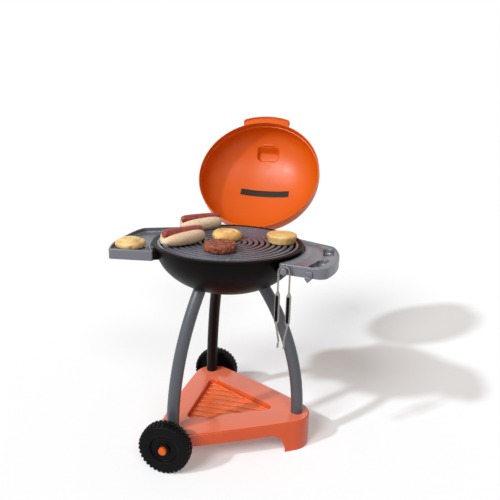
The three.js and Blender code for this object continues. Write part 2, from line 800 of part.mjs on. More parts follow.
// The lid, in its closed place: heights above its rim, turned round the bowl's axis.
function domeCurve(radius, height, base, steps) {
  return Array.from({ length: steps + 1 }, (_, i) => {
    const t = ((Math.PI / 2) * i) / steps;
    return [i === steps ? 0 : radius * Math.cos(t), base + (height - base) * Math.sin(t)];
  });
}

const domeInner = lidRadius - lidWall - lidStep;
const lidOutside = () => domeCurve(lidRadius, lidDepth, lidBand, 8);
const lidInside = (drop = 0) => domeCurve(domeInner - drop, lidDepth - lidWall - drop, lidBand, 8);

function lidDome() {
  const inside = lidInside();
  const shell = turned(
    [
      [lidRadius, 0],
      ...lidOutside(),
      ...inside.slice().reverse(),
      [domeInner, lidStepHeight],
      [lidRadius - lidWall, lidStepHeight],
      [lidRadius - lidWall, 0],
      [lidRadius, 0],
    ],
    40,
  );
  const hollow = turned([[0, 0], [domeInner, 0], ...inside], 40);
  const grown = lidWall;
  const bossDepth = lidPocketDepth + lidWall;
  const boss = onDome(pocketHalfWidth + grown, pocketSlope / 2 + grown, -2 * cutExtra, bossDepth);
  const pocket = onDome(pocketHalfWidth, pocketSlope / 2, -4 * cutExtra, lidPocketDepth);
  return piece("lid_dome", shell.add(boss.subtract(hollow)).subtract(pocket), orangePlastic);
}

// A block standing on the dome's inside at the pocket's place, square to the surface.
function onDome(halfWidth, halfLength, low, high) {
  const t = Math.acos(pocketPlaceShare);
  const height = lidDepth - lidWall;
  const y = -domeInner * Math.cos(t);
  const z = lidBand + (height - lidBand) * Math.sin(t);
  const slope = Math.atan2((height - lidBand) * Math.cos(t), domeInner * Math.sin(t));
  const geometry = new THREE.BoxGeometry(2 * halfWidth, 2 * halfLength, high - low);
  geometry.translate(0, 0, (low + high) / 2).rotateX(slope).translate(0, y, z);
  return solidOf(geometry);
}

function lidStrip() {
  const outer = turned([[0, lidBand], ...lidInside(fitGap)], 40);
  const inner = turned([[0, 0], [domeInner, 0], ...lidInside(fitGap + stripThickness)], 40);
  const left = stripShift - stripLength / 2;
  const band = block(left, left + stripLength, 0, stripWidth, lidBand, lidDepth);
  return piece("lid_strip", outer.subtract(inner).intersect(band), stripDark);
}

function lidHandle() {
  const inner = lidRadius + fitGap;
  const outer = lidRadius + handleReach;
  const half = handleWidth / 2 / outer;
  const front = -Math.PI / 2;
  const outline = [
    ...arc(flat(0, 0), outer, front - half * handleEndShare, front + half * handleEndShare, 8),
    ...arc(flat(0, 0), inner, front + half, front - half, 8),
  ];
  const corners = outline.map((point, i) => ({ point, radius: i === 0 || i === 8 ? handleReach / 4 : 0 }));
  const handle = prism(rounded(corners, 3), handleRaise, handleRaise + handleThickness);
  return piece("lid_handle", handle, orangePlastic);
}

function hingeArms() {
  const pinHeight = -hingeDrop - lidRest;
  const eye = arc(flat(hingeY, pinHeight), armEye, -Math.PI, 0, 8).map((p) => [p.x, p.y]);
  const inside = bowlRadius - seatWidth - rimWidth;
  const top = lidBand - lidWall;
  const outline = [
    ...eye,
    [hingeY + armEye, top - armEye],
    [hingeY, top],
    [inside, top],
    [inside, lidWall],
    [hingeY - armEye, lidWall],
  ];
  const around = lidRadius + fitGap;
  const trim = turned([[0, -cutExtra], [around, -cutExtra], [around, lidDepth], [0, lidDepth]], 40);
  return [-1, 1].map((side) => {
    const centre = side * hingeSpread;
    const hole = pinHole(side).translate([0, 0, -rimHeight - lidRest]);
    const whole = sidePrism(outline, centre - armWidth / 2, centre + armWidth / 2);
    const arm = whole.subtract(hole).subtract(trim);
    return piece(side > 0 ? "hinge_arm_right" : "hinge_arm_left", arm, orangePlastic);
  });
}

function lid() {
  const closed = new THREE.Group();
  closed.add(lidDome(), lidHandle(), lidStrip(), ...hingeArms());
  closed.position.set(0, -hingeY, rimHeight + lidRest - hingeZ);
  const turning = new THREE.Group();
  turning.position.set(0, hingeY, hingeZ);
  turning.rotation.x = -openAngle;
  turning.add(closed);
  return turning;
}

function cornerCentres() {
  return legFeet.map((foot, i) => {
    const inward = flat(-Math.cos(legTurns[i]), -Math.sin(legTurns[i]));
    return foot.clone().addScaledVector(inward, cornerInsets[i]);
  });
}

const shelfCorners = () => {
  const [frontLeft, rearLeft, right] = cornerCentres();
  return [frontLeft, right, rearLeft];
};

function recessCorners() {
  const back = axleX + wheelCornerInset / 2 - cornerRadius + recessBackInset + recessRadius;
  const half = recessWideShare * (legCircle - wheelCornerInset) * Math.sin(legTurns[1]);
  const tip = baseShift + legCircle - recessTipInset - recessRadius;
  return [flat(back, -half), flat(tip, 0), flat(back, half)];
}

function baseShelf() {
  const corners = shelfCorners();
  const outline = (inset) => hullOutline(corners, cornerRadius - inset, edgeBulge);
  const fillet = Array.from({ length: 4 }, (_, i) => {
    const a = (i * Math.PI) / 6;
    const inset = shelfFillet * (1 - Math.cos(a));
    return { outline: outline(inset), z: shelfHeight - shelfFillet * (1 - Math.sin(a)) };
  });
  let shelf = loft([{ outline: outline(0), z: 0 }, ...fillet]);
  shelf = shelf.subtract(prism(outline(shelfWall), shelfWall, shelfHeight - shelfWall));
  const recess = (growth) => hullOutline(recessCorners(), recessRadius + growth, 0, 5, 1);
  const recessFloor = shelfHeight - recessDepth;
  shelf = shelf.add(prism(recess(shelfWall), recessFloor - shelfWall, shelfHeight - shelfWall));
  shelf = shelf.subtract(prism(recess(0), recessFloor, shelfHeight + cutExtra));
  const well = prism(recess(0), recessFloor, shelfHeight);
  const half = recessCorners()[2].y + recessRadius;
  for (let i = 0; i < ribCount; i += 1) {
    const y = -half + (2 * half * (i + 0.5)) / ribCount;
    const edge = ribWidth / 2;
    const rib = block(-legCircle, legCircle, y - edge, y + edge, recessFloor, recessFloor + ribHeight);
    shelf = shelf.add(rib.intersect(well));
  }
  for (const foot of legFeet) {
    const base = at(foot.x, foot.y, axleZ - legBelowAxle - socketWall - fitGap);
    const roof = at(foot.x, foot.y, shelfHeight - shelfWall);
    shelf = shelf.add(rod(base, roof, legRadius + fitGap + socketWall));
  }
  for (const foot of legFeet) {
    const base = at(foot.x, foot.y, axleZ - legBelowAxle - fitGap);
    shelf = shelf.subtract(rod(base, at(foot.x, foot.y, shelfHeight + cutExtra), legRadius + fitGap, 24));
  }
  shelf = shelf.subtract(axleHole()).subtract(archCut());
  return piece("base_shelf", shelf, orangePlastic);
}

// What is cut away under the skirt between the foot and the wheels.
function archCut() {
  const top = shelfHeight - skirtHeight;
  const end = baseShift + legCircle - archInset;
  const curve = Array.from({ length: 7 }, (_, i) => {
    const a = (Math.PI / 2) * (i / 6);
    return flat(end - archRadiusX * (1 - Math.cos(a)), top * Math.sin(a));
  });
  const left = -2 * legCircle;
  const outline = [flat(left, -cutExtra), flat(end, -cutExtra), ...curve, flat(left, top)];
  const depth = 4 * legCircle;
  const geometry = new THREE.ExtrudeGeometry(new THREE.Shape(outline), { depth, bevelEnabled: false });
  return solidOf(geometry.rotateX(Math.PI / 2).translate(0, 2 * legCircle, 0));
}

// A wheel lying with its outer face up, then turned onto the axle.
function wheel(side) {
  const bore = axleRadius + fitGap;
  const round = [0, 1, 2].map((i) => {
    const a = (i * Math.PI) / 4;
    return [wheelRadius - shoulder * (1 - Math.cos(a)), wheelWidth - shoulder * (1 - Math.sin(a))];
  });
  const mirrored = round.map(([r, z]) => [r, wheelWidth - z]).reverse();
  const hubTop = wheelWidth - hubSet;
  const webTop = wheelWidth - hubRecessDepth;
  const profile = [
    [bore, 0],
    [hubRadius, 0],
    [hubRadius, webTop - wheelWeb],
    [wheelRadius - treadDepth - wheelRim, webTop - wheelWeb],
    [wheelRadius - treadDepth - wheelRim, 0],
    ...mirrored,
    ...round,
    [hubRecess, wheelWidth],
    [hubRecess, webTop],
    [hubRadius, webTop],
    [hubRadius, hubTop],
    [bore, hubTop],
    [bore, 0],
  ];
  let body = turned(profile, 28);
  const half = treadGrooveWidth / 2;
  const deep = wheelRadius - treadDepth;
  const groove = block(deep, wheelRadius + cutExtra, -half, half, -cutExtra, wheelWidth + cutExtra);
  for (let i = 0; i < treadGrooves; i += 1) {
    const turn = ((i + 0.5) * 360) / treadGrooves;
    body = body.subtract(groove.rotate([0, 0, turn]));
  }
  const mesh = piece(side < 0 ? "wheel_front" : "wheel_rear", body, blackPlastic);
  mesh.position.set(axleX, side * wheelInner, axleZ);
  mesh.rotation.x = side < 0 ? Math.PI / 2 : -Math.PI / 2;
  return mesh;
}

function axleParts() {
  const end = wheelOuter - hubSet + fitGap + axleStub;
  const axle = piece("axle", rod(at(axleX, -end, axleZ), at(axleX, end, axleZ), axleRadius, 16), steel);
  const bore = axleRadius + fitGap;
  const profile = [
    [bore, 0],
    [capRadius, 0],
    [capRadius, capHeight / 2],
    [capRadius - capHeight / 5, capHeight - capHeight / 5],
    [capRadius / 2, capHeight],
    [0, capHeight],
    [0, axleStub + fitGap],
    [bore, axleStub + fitGap],
    [bore, 0],
  ];
  const thick = wheelGap - 2 * fitGap;
  const washer = [[bore, 0], [capRadius, 0], [capRadius, thick], [bore, thick], [bore, 0]];
  const fitted = (name, outline, y, side, material) => {
    const mesh = piece(name, turned(outline, 16), material);
    mesh.position.set(axleX, side * y, axleZ);
    mesh.rotation.x = side < 0 ? Math.PI / 2 : -Math.PI / 2;
    return mesh;
  };
  const capPlace = wheelOuter - hubSet + fitGap;
  return [
    axle,
    fitted("hub_cap_front", profile, capPlace, -1, orangePlastic),
    fitted("hub_cap_rear", profile, capPlace, 1, orangePlastic),
    fitted("axle_washer_front", washer, shelfSide + fitGap, -1, blackPlastic),
    fitted("axle_washer_rear", washer, shelfSide + fitGap, 1, blackPlastic),
  ];
}

// An outline in the tongs' front view, with x to the right and z up, pushed out from the tray's face.
function frontPrism(outline, near, far, holes = []) {
  const shape = new THREE.Shape(outline);
  for (const hole of holes) shape.holes.push(new THREE.Path(hole));
  const geometry = new THREE.ExtrudeGeometry(shape, { depth: far - near, bevelEnabled: false });
  return solidOf(geometry.rotateX(Math.PI / 2).translate(0, -near, 0));
}

const bowOuter = bowRadius + tongsStrip;
const bowMiddle = bowRadius + tongsStrip / 2;

function tongsBow() {
  const outline = [
    ...arc(flat(0, 0), bowOuter, 0, Math.PI, 12),
    flat(-bowOuter, -bowLeg),
    flat(-bowRadius, -bowLeg),
    ...arc(flat(0, 0), bowRadius, Math.PI, 0, 12),
    flat(bowRadius, -bowLeg),
    flat(bowOuter, -bowLeg),
  ];
  return piece("tongs_bow", frontPrism(outline, tongsOut, tongsOut + tongsWidth), silverPlastic);
}

// One arm from its joint with the bow down to its tip, and the black insert in its grip.
function tongsArm(side) {
  const top = -bowLeg - fitGap;
  const gripTop = top - stemLength;
  const gripBottom = gripTop - gripLength;
  const tipTop = gripBottom - lowerLength + tipLength;
  const tipBottom = gripBottom - lowerLength;
  const x = (offset) => side * (bowMiddle + offset);
  const thin = tongsStrip / 2;
  const wide = gripWidth / 2;
  const outward = [
    flat(x(thin), top),
    flat(x(thin), gripTop + gripRound),
    flat(x(wide), gripTop - gripRound),
    flat(x(wide), gripBottom + gripRound),
    flat(x(thin), gripBottom - gripRound),
    flat(x(thin - tipInset), tipTop),
    flat(x(tipWidth / 2 - tipInset), tipTop - tipLength / 4),
    flat(x(tipWidth / 2 - tipInset), tipBottom),
  ];
  const inward = [
    flat(x(-tipWidth / 2 - tipInset / 2), tipBottom),
    flat(x(-tipWidth / 2 - tipInset / 2), tipTop - tipLength / 4),
    flat(x(-thin - tipInset), tipTop),
    flat(x(-thin), gripBottom - gripRound),
    flat(x(-wide), gripBottom + gripRound),
    flat(x(-wide), gripTop - gripRound),
    flat(x(-thin), gripTop + gripRound),
    flat(x(-thin), top),
  ];
  const turnedAbout = side > 0 ? [...outward, ...inward].reverse() : [...outward, ...inward];
  const slot = (shrink) => {
    const half = insertWidth / 2 - shrink;
    const low = gripBottom + gripRound + shrink;
    const high = gripTop - gripRound - shrink;
    const corners = [flat(x(-half), low), flat(x(half), low), flat(x(half), high), flat(x(-half), high)];
    return rounded(corners.map((point) => ({ point, radius: half * 0.9 })), 3);
  };
  const near = tongsOut;
  const far = tongsOut + tongsWidth;
  const word = side > 0 ? "right" : "left";
  const arm = frontPrism(turnedAbout, near, far, [slot(0)]);
  const insert = frontPrism(slot(fitGap), near - insertProud, far + insertProud);
  return [piece(`tongs_arm_${word}`, arm, silverPlastic), piece(`tongs_grip_${word}`, insert, blackPlastic)];
}

function frontTools() {
  const peg = faceGroup(pegPlaceShare * trayReach, pegZ);
  const hung = new THREE.Group();
  hung.position.z = pegRadius + fitGap - bowRadius;
  hung.add(tongsBow(), ...tongsArm(-1), ...tongsArm(1));
  peg.add(toolPeg(), hung);
  const hook = faceGroup(hookPlaceShare * trayReach, pegZ);
  hook.add(toolHook());
  return [peg, hook];
}

function bun(name, radius, height, dimpleShare) {
  const sides = bunProfileShares.map(([r, h]) => [r * radius, h * height]);
  const dimple = [
    [dimpleEdgeShare * radius, height * (1 - dimpleShare / 2)],
    [0, height * (1 - dimpleShare)],
  ];
  return piece(name, turned([[0, 0], ...sides, ...dimple], 18), bunTan);
}

function patty() {
  const sides = pattyProfileShares.map(([r, h]) => [r * pattyRadius, h * pattyHeight]);
  return piece("burger_patty", turned([[0, 0], ...sides, [0, pattyHeight]], 18), pattyBrown);
}

// A round body along X whose ends close with a power curve.
function loaf(halfLength, radiusY, radiusZ, power, sides, steps) {
  const profile = Array.from({ length: steps + 1 }, (_, i) => {
    const x = -Math.cos((Math.PI * i) / steps);
    const r = i === 0 || i === steps ? 0 : Math.pow(1 - Math.pow(Math.abs(x), power), 1 / power);
    return new THREE.Vector2(r, x * halfLength);
  });
  const geometry = new THREE.LatheGeometry(profile, sides).scale(radiusZ, 1, radiusY);
  return solidOf(geometry.rotateZ(-Math.PI / 2));
}

function hotDog(word) {
  const centre = rollHeight / 2;
  const sausageZ = rollHeight + sausageProud - sausageRadius;
  const whole = loaf(rollHalfLength, rollHalfWidth, centre + rollFlat, rollPower, 14, 8);
  const body = whole.translate([0, 0, centre - rollFlat]);
  const underside = block(-rollHalfLength, rollHalfLength, -rollHalfWidth, rollHalfWidth, -rollHeight, 0);
  const grooveRadius = sausageRadius + fitGap;
  const groove = loaf(rollHalfLength + cutExtra, grooveRadius, grooveRadius, sausagePower, 12, 8);
  const roll = body.subtract(underside).subtract(groove.translate([0, 0, sausageZ]));
  const high = rollHeight + rollHalfWidth;
  const above = block(-rollHalfLength, rollHalfLength, -grooveRadius, grooveRadius, sausageZ, high);
  const meat = loaf(sausageHalfLength, sausageRadius, sausageRadius, sausagePower, 12, 8);
  const sausage = meat.translate([0, 0, sausageZ]);
  return [
    piece(`hot_dog_roll_${word}`, roll.subtract(above), rollTan),
    piece(`sausage_${word}`, sausage, sausageRed),
  ];
}

function placed(meshes, shares, radius, z, turn = 0) {
  const group = new THREE.Group();
  group.add(...meshes);
  group.position.set(shares[0] * radius, shares[1] * radius, z);
  group.rotation.z = turn;
  return group;
}

function food() {
  const onGrate = grateTop + fitGap;
  const onTray = trayTop - leftDishDepth + fitGap;
  const leftReach = trayInner + bunLeftShare * trayReach;
  const leftPlace = [leftReach * Math.cos(bunLeftTurn), leftReach * Math.sin(bunLeftTurn)];
  return [
    placed([bun("bun_middle", bunRadius, bunHeight, 0.16)], bunMiddleShares, grateRadius, onGrate),
    placed([bun("bun_right", bunRightRadius, bunRightHeight, 0.1)], bunRightShares, grateRadius, onGrate),
    placed([bun("bun_left", bunRadius, bunHeight, 0.04)], leftPlace, 1, onTray),
    placed([patty()], pattyShares, grateRadius, onGrate),
    placed(hotDog("front"), rollFrontShares, grateRadius, onGrate, rollFrontTurn),
    placed(hotDog("rear"), rollRearShares, grateRadius, onGrate, rollRearTurn),
  ];
}

const grill = new THREE.Group();
grill.add(
  baseShelf(),
  ...legs(),
  ...axleParts(),
  wheel(-1),
  wheel(1),
  fireBowl(),
  ...hingePins(),
  cookingGrate(),
  sideTray(-1),
  sideTray(1),
  ...trayScrews(),
  ...frontTools(),
  lid(),
  ...food(),
);

// The part's origin is the middle of its box, on the floor.
grill.updateMatrixWorld(true);
const box = new THREE.Box3().setFromObject(grill, true);
const middle = box.getCenter(new THREE.Vector3());
grill.position.set(-middle.x, -middle.y, -box.min.z);

export default grill;
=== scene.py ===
from math import acos, asin, atan2, copysign, cos, exp, hypot, pi, radians, sin, sqrt, tan

import bmesh
import bpy
from mathutils import Matrix, Vector, noise


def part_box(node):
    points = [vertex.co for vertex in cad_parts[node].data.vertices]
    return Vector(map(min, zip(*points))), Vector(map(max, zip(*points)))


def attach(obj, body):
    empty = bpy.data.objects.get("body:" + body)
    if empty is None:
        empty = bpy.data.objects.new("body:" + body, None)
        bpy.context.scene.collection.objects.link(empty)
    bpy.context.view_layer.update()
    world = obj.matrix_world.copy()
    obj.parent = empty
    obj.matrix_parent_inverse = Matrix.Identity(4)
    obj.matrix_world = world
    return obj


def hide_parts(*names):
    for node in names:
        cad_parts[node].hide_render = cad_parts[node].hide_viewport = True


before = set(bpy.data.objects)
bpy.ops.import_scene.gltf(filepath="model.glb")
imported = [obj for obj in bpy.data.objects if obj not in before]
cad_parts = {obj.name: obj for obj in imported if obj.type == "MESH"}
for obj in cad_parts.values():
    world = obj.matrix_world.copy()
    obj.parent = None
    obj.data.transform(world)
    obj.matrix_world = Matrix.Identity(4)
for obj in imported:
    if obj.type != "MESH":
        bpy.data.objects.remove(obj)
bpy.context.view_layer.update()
scene = bpy.context.scene
print("frame loaded")

# Lengths are in metres and the floor is z 0. In the values below the bowl's axis stands at x 0, y 0,
# and toRow carries a finished mesh to where the frame has it.
grateLow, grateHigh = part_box("cooking_grate")
toRow = Matrix.Translation(((grateLow[0] + grateHigh[0]) / 2, (grateLow[1] + grateHigh[1]) / 2, 0))
upright = Matrix.Rotation(pi / 2, 4, "X")  # stands an outline drawn flat up, facing the front
sideways = Matrix(((0, 0, 1, 0), (1, 0, 0, 0), (0, 1, 0, 0), (0, 0, 0, 1)))  # reads it as a side view
clearance = 0.00035  # between pieces that fit into or hang on each other
shelfTop = 0.088


def tone(red, green, blue):
    shares = [level / 255 for level in (red, green, blue)]
    return [share / 12.92 if share < 0.04 else ((share + 0.055) / 1.055) ** 2.4 for share in shares] + [1]


def startMaterial(name, roughness=0.5, shine=0.5):
    material = bpy.data.materials.new(name)
    material.use_nodes = True
    tree = material.node_tree
    shader = tree.nodes["Principled BSDF"]
    shader.inputs["Roughness"].default_value = roughness
    shader.inputs["Specular IOR Level"].default_value = shine
    return material, tree, shader


def added(tree, kind, values=None, links=None):
    # A new node with values for some of its inputs and links to others.
    node = tree.nodes.new("ShaderNode" + kind)
    for name, value in (values or {}).items():
        node.inputs[name].default_value = value
    for name, source in (links or {}).items():
        tree.links.new(source, node.inputs[name])
    return node


def cloud(tree, scale, detail=3, roughness=0.5):
    place = added(tree, "TexCoord").outputs["Object"]
    values = {"Scale": scale, "Detail": detail, "Roughness": roughness}
    return added(tree, "TexNoise", values, {"Vector": place}).outputs["Fac"]


def cells(tree, scale):
    place = added(tree, "TexCoord").outputs["Object"]
    return added(tree, "TexVoronoi", {"Scale": scale}, {"Vector": place}).outputs["Distance"]


def ramp(tree, factor, stops):
    node = added(tree, "ValToRGB", links={"Fac": factor})
    points = node.color_ramp.elements
    while len(points) < len(stops):
        points.new(0.5)
    for point, (place, colour) in zip(points, stops):
        point.position = place
        point.color = tone(*colour)
    return node.outputs["Color"]


def spread(tree, factor, low, high, start=0.3, end=0.7):
    values = {"From Min": start, "From Max": end, "To Min": low, "To Max": high}
    return added(tree, "MapRange", values, {"Value": factor}).outputs["Result"]


def blended(tree, factor, first, second):
    node = added(tree, "Mix")
    node.data_type = "RGBA"
    for name, value in (("Factor", factor), ("A", first), ("B", second)):
        target = next(i for i in node.inputs if i.name == name and (i.type == "RGBA") != (name == "Factor"))
        if isinstance(value, list):
            target.default_value = value
        else:
            tree.links.new(value, target)
    return next(o for o in node.outputs if o.type == "RGBA")


def bumped(tree, shader, height, distance, strength=0.5, after=None):
    links = {"Height": height, "Normal": after} if after else {"Height": height}
    node = added(tree, "Bump", {"Distance": distance, "Strength": strength}, links)
    tree.links.new(node.outputs["Normal"], shader.inputs["Normal"])
    return node.outputs["Normal"]


def anyOf(tree, *sources):
    # The highest of several factors.
    highest = sources[0]
    for source in sources[1:]:
        node = added(tree, "Math")
        node.operation = "MAXIMUM"
        tree.links.new(highest, node.inputs[0])
        tree.links.new(source, node.inputs[1])
        highest = node.outputs[0]
    return highest


def seenDirectly(tree):
    # Whether a ray comes from the camera, a gloss or a clear surface.
    path = added(tree, "LightPath").outputs
    return anyOf(tree, path["Is Camera Ray"], path["Is Glossy Ray"], path["Is Transmission Ray"])


# Moulded plastic: soft flow marks in its colour, an uneven gloss and the fine grain of the mould.
plasticLook = {
    "flowScale": 11,
    "glossScale": 45,
    "glossSwing": 0.05,
    "grainScale": 900,
    "grainDepth": 0.0002,
    "waveScale": 26,
    "waveDepth": 0.0008,
}


def plastic(name, colour, shade, roughness, grain=0.35, metal=0.0, shine=0.5):
    material, tree, shader = startMaterial(name, roughness, shine)
    flow = spread(tree, cloud(tree, plasticLook["flowScale"], 4), 0.0, 1.0)
    tree.links.new(blended(tree, flow, tone(*colour), tone(*shade)), shader.inputs["Base Color"])
    gloss, swing = cloud(tree, plasticLook["glossScale"], 5), plasticLook["glossSwing"]
    tree.links.new(spread(tree, gloss, roughness - swing, roughness + swing), shader.inputs["Roughness"])
    wave = bumped(tree, shader, cloud(tree, plasticLook["waveScale"], 1), plasticLook["waveDepth"], 0.25)
    fine = cloud(tree, plasticLook["grainScale"], 2)
    bumped(tree, shader, fine, plasticLook["grainDepth"], grain, wave)
    shader.inputs["Metallic"].default_value = metal
    return material


def paintedSheenAbove(material, level, colour):
    # Painted sheen: the flat upper face of a moulding is painted paler than its sides, in place of the
    # reflection of the bright surroundings.
    tree = material.node_tree
    target = next(node for node in tree.nodes if node.type == "BSDF_PRINCIPLED").inputs["Base Color"]
    place = added(tree, "TexCoord").outputs["Object"]
    height = added(tree, "SeparateXYZ", links={"Vector": place}).outputs["Z"]
    sheenMask = spread(tree, height, 0.0, 1.0, level - 0.0006, level - 0.0001)
    tree.links.new(blended(tree, sheenMask, target.links[0].from_socket, tone(*colour)), target)


def bread(name, pale, toasted, baked, patch=24, crumb=420, depth=0.0009):
    material, tree, shader = startMaterial(name, 0.55)
    crust = ramp(tree, cloud(tree, patch, 6, 0.62), [(0.34, pale), (0.5, toasted), (0.68, baked)])
    specks = spread(tree, cloud(tree, crumb, 3, 0.7), 0.0, 0.5, 0.56, 0.7)
    tree.links.new(blended(tree, specks, crust, tone(*baked)), shader.inputs["Base Color"])
    soft = bumped(tree, shader, cloud(tree, 60, 5), depth * 2, 0.5)
    bumped(tree, shader, cloud(tree, crumb, 4, 0.7), depth * 0.5, 0.5, soft)
    return material


def speckledRoll(name, pale, warm, dot, flour, scale=300):
    material, tree, shader = startMaterial(name, 0.62)
    base = blended(tree, spread(tree, cloud(tree, 30, 4), 0.0, 1.0), tone(*pale), tone(*warm))
    dark = spread(tree, cloud(tree, scale, 2, 0.6), 0.0, 0.55, 0.56, 0.66)
    light = spread(tree, cloud(tree, scale * 1.3, 2, 0.6), 0.6, 0.0, 0.34, 0.44)
    dotted = blended(tree, dark, base, tone(*dot))
    tree.links.new(blended(tree, light, dotted, tone(*flour)), shader.inputs["Base Color"])
    bumped(tree, shader, cloud(tree, scale, 3, 0.6), 0.0007, 0.6)
    return material


def grilledSausage(name, dark, red, light):
    material, tree, shader = startMaterial(name, 0.36)
    tint = ramp(tree, cloud(tree, 60, 5, 0.6), [(0.36, dark), (0.52, red), (0.7, light)])
    tree.links.new(tint, shader.inputs["Base Color"])
    bumped(tree, shader, cloud(tree, 240, 4), 0.0006, 0.4)
    return material


def mincedMeat(name, dark, brown, light):
    material, tree, shader = startMaterial(name, 0.5, 0.25)
    lumps = cells(tree, 150)
    tint = ramp(tree, cloud(tree, 90, 6, 0.65), [(0.36, dark), (0.5, brown), (0.66, light)])
    # Painted shade: the low gaps between the lumps are painted darker.
    creviceShade = spread(tree, lumps, 0.0, 0.55, 0.35, 0.75)
    tree.links.new(blended(tree, creviceShade, tint, tone(*dark)), shader.inputs["Base Color"])
    soft = bumped(tree, shader, spread(tree, lumps, 1.0, 0.0, 0.0, 0.8), 0.0022, 0.8)
    bumped(tree, shader, cloud(tree, 500, 3), 0.0006, 0.5, soft)
    return material


finishes = {
    "black_plastic": plastic("blackPlastic", (12, 8, 7), (9, 6, 5), 0.4, shine=0.07),
    "orange_plastic": plastic("orangePlastic", (214, 91, 4), (208, 85, 3), 0.38, 0.08, shine=0.34),
    "grey_plastic": plastic("greyPlastic", (95, 95, 103), (87, 88, 96), 0.35, 0.1, shine=1.1),
    "leg_grey": plastic("legGrey", (76, 78, 84), (70, 72, 78), 0.36, 0.1),
    "leg_black": plastic("legBlack", (14, 11, 10), (10, 8, 7), 0.34, shine=0.15),
    "grate_grey": plastic("grateGrey", (100, 100, 110), (90, 91, 101), 0.27, 0.12, shine=0.6),
    "strip_dark": plastic("stripDark", (46, 33, 23), (36, 25, 17), 0.5, 0.6, shine=0.2),
    "steel": plastic("steel", (176, 176, 180), (160, 160, 164), 0.3, 0.1, 1.0),
    "silver_plastic": plastic("silverPlastic", (150, 144, 138), (134, 129, 124), 0.28, 0.1, 0.55),
    "bun_tan": bread("bunMiddle", (248, 208, 132), (236, 184, 108), (208, 144, 76)),
    "roll_tan": speckledRoll("rollCrust", (246, 216, 180), (238, 202, 162), (168, 112, 72), (255, 246, 230)),
    "sausage_red": grilledSausage("sausageSkin", (128, 44, 34), (152, 58, 46), (178, 84, 64)),
    "patty_brown": mincedMeat("pattyMeat", (104, 48, 30), (154, 82, 56), (190, 120, 88)),
}
rubber = plastic("wheelRubber", (9, 8, 8), (6, 5, 6), 0.42, 0.3, shine=0.09)
shelfOrange = plastic("shelfOrange", (214, 78, 8), (206, 72, 5), 0.2, 0.06, shine=0.55)
# The shelf's top face gets a painted sheen.
paintedSheenAbove(shelfOrange, shelfTop, (244, 122, 88))
# Painted light and sheen for the recess floor and its ribs.
wellOrangePaintedLight = plastic("wellOrangePaintedLight", (246, 122, 62), (238, 112, 52), 0.3, 0.06, shine=0.55)
paleBun = bread("bunLeft", (252, 224, 164), (243, 204, 138), (222, 168, 98))
tallBun = bread("bunRight", (250, 212, 142), (240, 192, 120), (216, 156, 86))
print("finishes made")


def unite(bm, *others):
    for other in others:
        spare = bpy.data.meshes.new("spare")
        other.to_mesh(spare)
        other.free()
        bm.from_mesh(spare)
        bpy.data.meshes.remove(spare)
    return bm


def combined(bm, other, operation="DIFFERENCE"):
    # An exact Boolean of two solids, which uses both up.
    holders = []
    for part in (bm, other):
        mesh = bpy.data.meshes.new("spare")
        part.to_mesh(mesh)
        part.free()
        holders.append(bpy.data.objects.new("spare", mesh))
        scene.collection.objects.link(holders[-1])
    cut = holders[0].modifiers.new("cut", "BOOLEAN")
    cut.operation = operation
    cut.solver = "EXACT"
    cut.object = holders[1]
    result = bmesh.new()
    result.from_object(holders[0], bpy.context.evaluated_depsgraph_get())
    for holder in holders:
        mesh = holder.data
        bpy.data.objects.remove(holder)
        bpy.data.meshes.remove(mesh)
    bmesh.ops.remove_doubles(result, verts=result.verts, dist=1e-6)
    return result


def pushed(outline, low, high):
    bm = bmesh.new()
    face = bm.faces.new([bm.verts.new((x, y, low)) for x, y in outline])
    grown = bmesh.ops.extrude_face_region(bm, geom=[face])
    tops = [part for part in grown["geom"] if isinstance(part, bmesh.types.BMVert)]
    bmesh.ops.translate(bm, vec=(0, 0, high - low), verts=tops)
    bmesh.ops.recalc_face_normals(bm, faces=bm.faces)
    return bm


def stacked(levels):
    # A solid from outlines of the same count of points, one above the other.
    bm = bmesh.new()
    outline, height = levels[0]
    face = bm.faces.new([bm.verts.new((x, y, height)) for x, y in outline])
    for number, (outline, height) in enumerate(levels[1:]):
        grown = bmesh.ops.extrude_face_region(bm, geom=[face])
        if number:
            bmesh.ops.delete(bm, geom=[face], context="FACES_ONLY")
        face = next(part for part in grown["geom"] if isinstance(part, bmesh.types.BMFace))
        for vert, (x, y) in zip(face.verts, outline):
            vert.co = (x, y, height)
    bmesh.ops.recalc_face_normals(bm, faces=bm.faces)
    return bm


def swept(bm, geom, angle, steps, centre=(0, 0, 0), axis=(0, 0, 1), merge=False, copied=False):
    return bmesh.ops.spin(
        bm,
        geom=geom,
        cent=centre,
        axis=axis,
        dvec=(0, 0, 0),
        angle=angle,
        steps=steps,
        use_merge=merge,
        use_duplicate=copied,
    )["geom_last"]


def spun(profile, steps=96, closed=False):
    bm = bmesh.new()
    verts = [bm.verts.new((radius, 0, height)) for radius, height in profile]
    ends = verts[1:] + ([verts[0]] if closed else [])
    edges = [bm.edges.new(pair) for pair in zip(verts, ends)]
    swept(bm, verts + edges, 2 * pi, steps, merge=True)
    bmesh.ops.remove_doubles(bm, verts=bm.verts, dist=1e-6)
    bmesh.ops.recalc_face_normals(bm, faces=bm.faces)
    return bm


def softened(bm, width, segments=2, angle=60, chosen=None):
    # Bevels every edge that is sharper than the angle.
    bm.normal_update()
    limit = radians(angle)
    edges = [e for e in bm.edges if len(e.link_faces) == 2 and e.calc_face_angle(0) > limit]
    if chosen:
        edges = [e for e in edges if chosen(e)]
    bmesh.ops.bevel(
        bm,
        geom=edges,
        offset=width,
        offset_type="OFFSET",
        segments=segments,
        profile=0.5,
        affect="EDGES",
        clamp_overlap=True,
        material=-1,
    )
    return bm


def moved(bm, matrix):
    bmesh.ops.transform(bm, matrix=matrix, verts=bm.verts)
    return bm


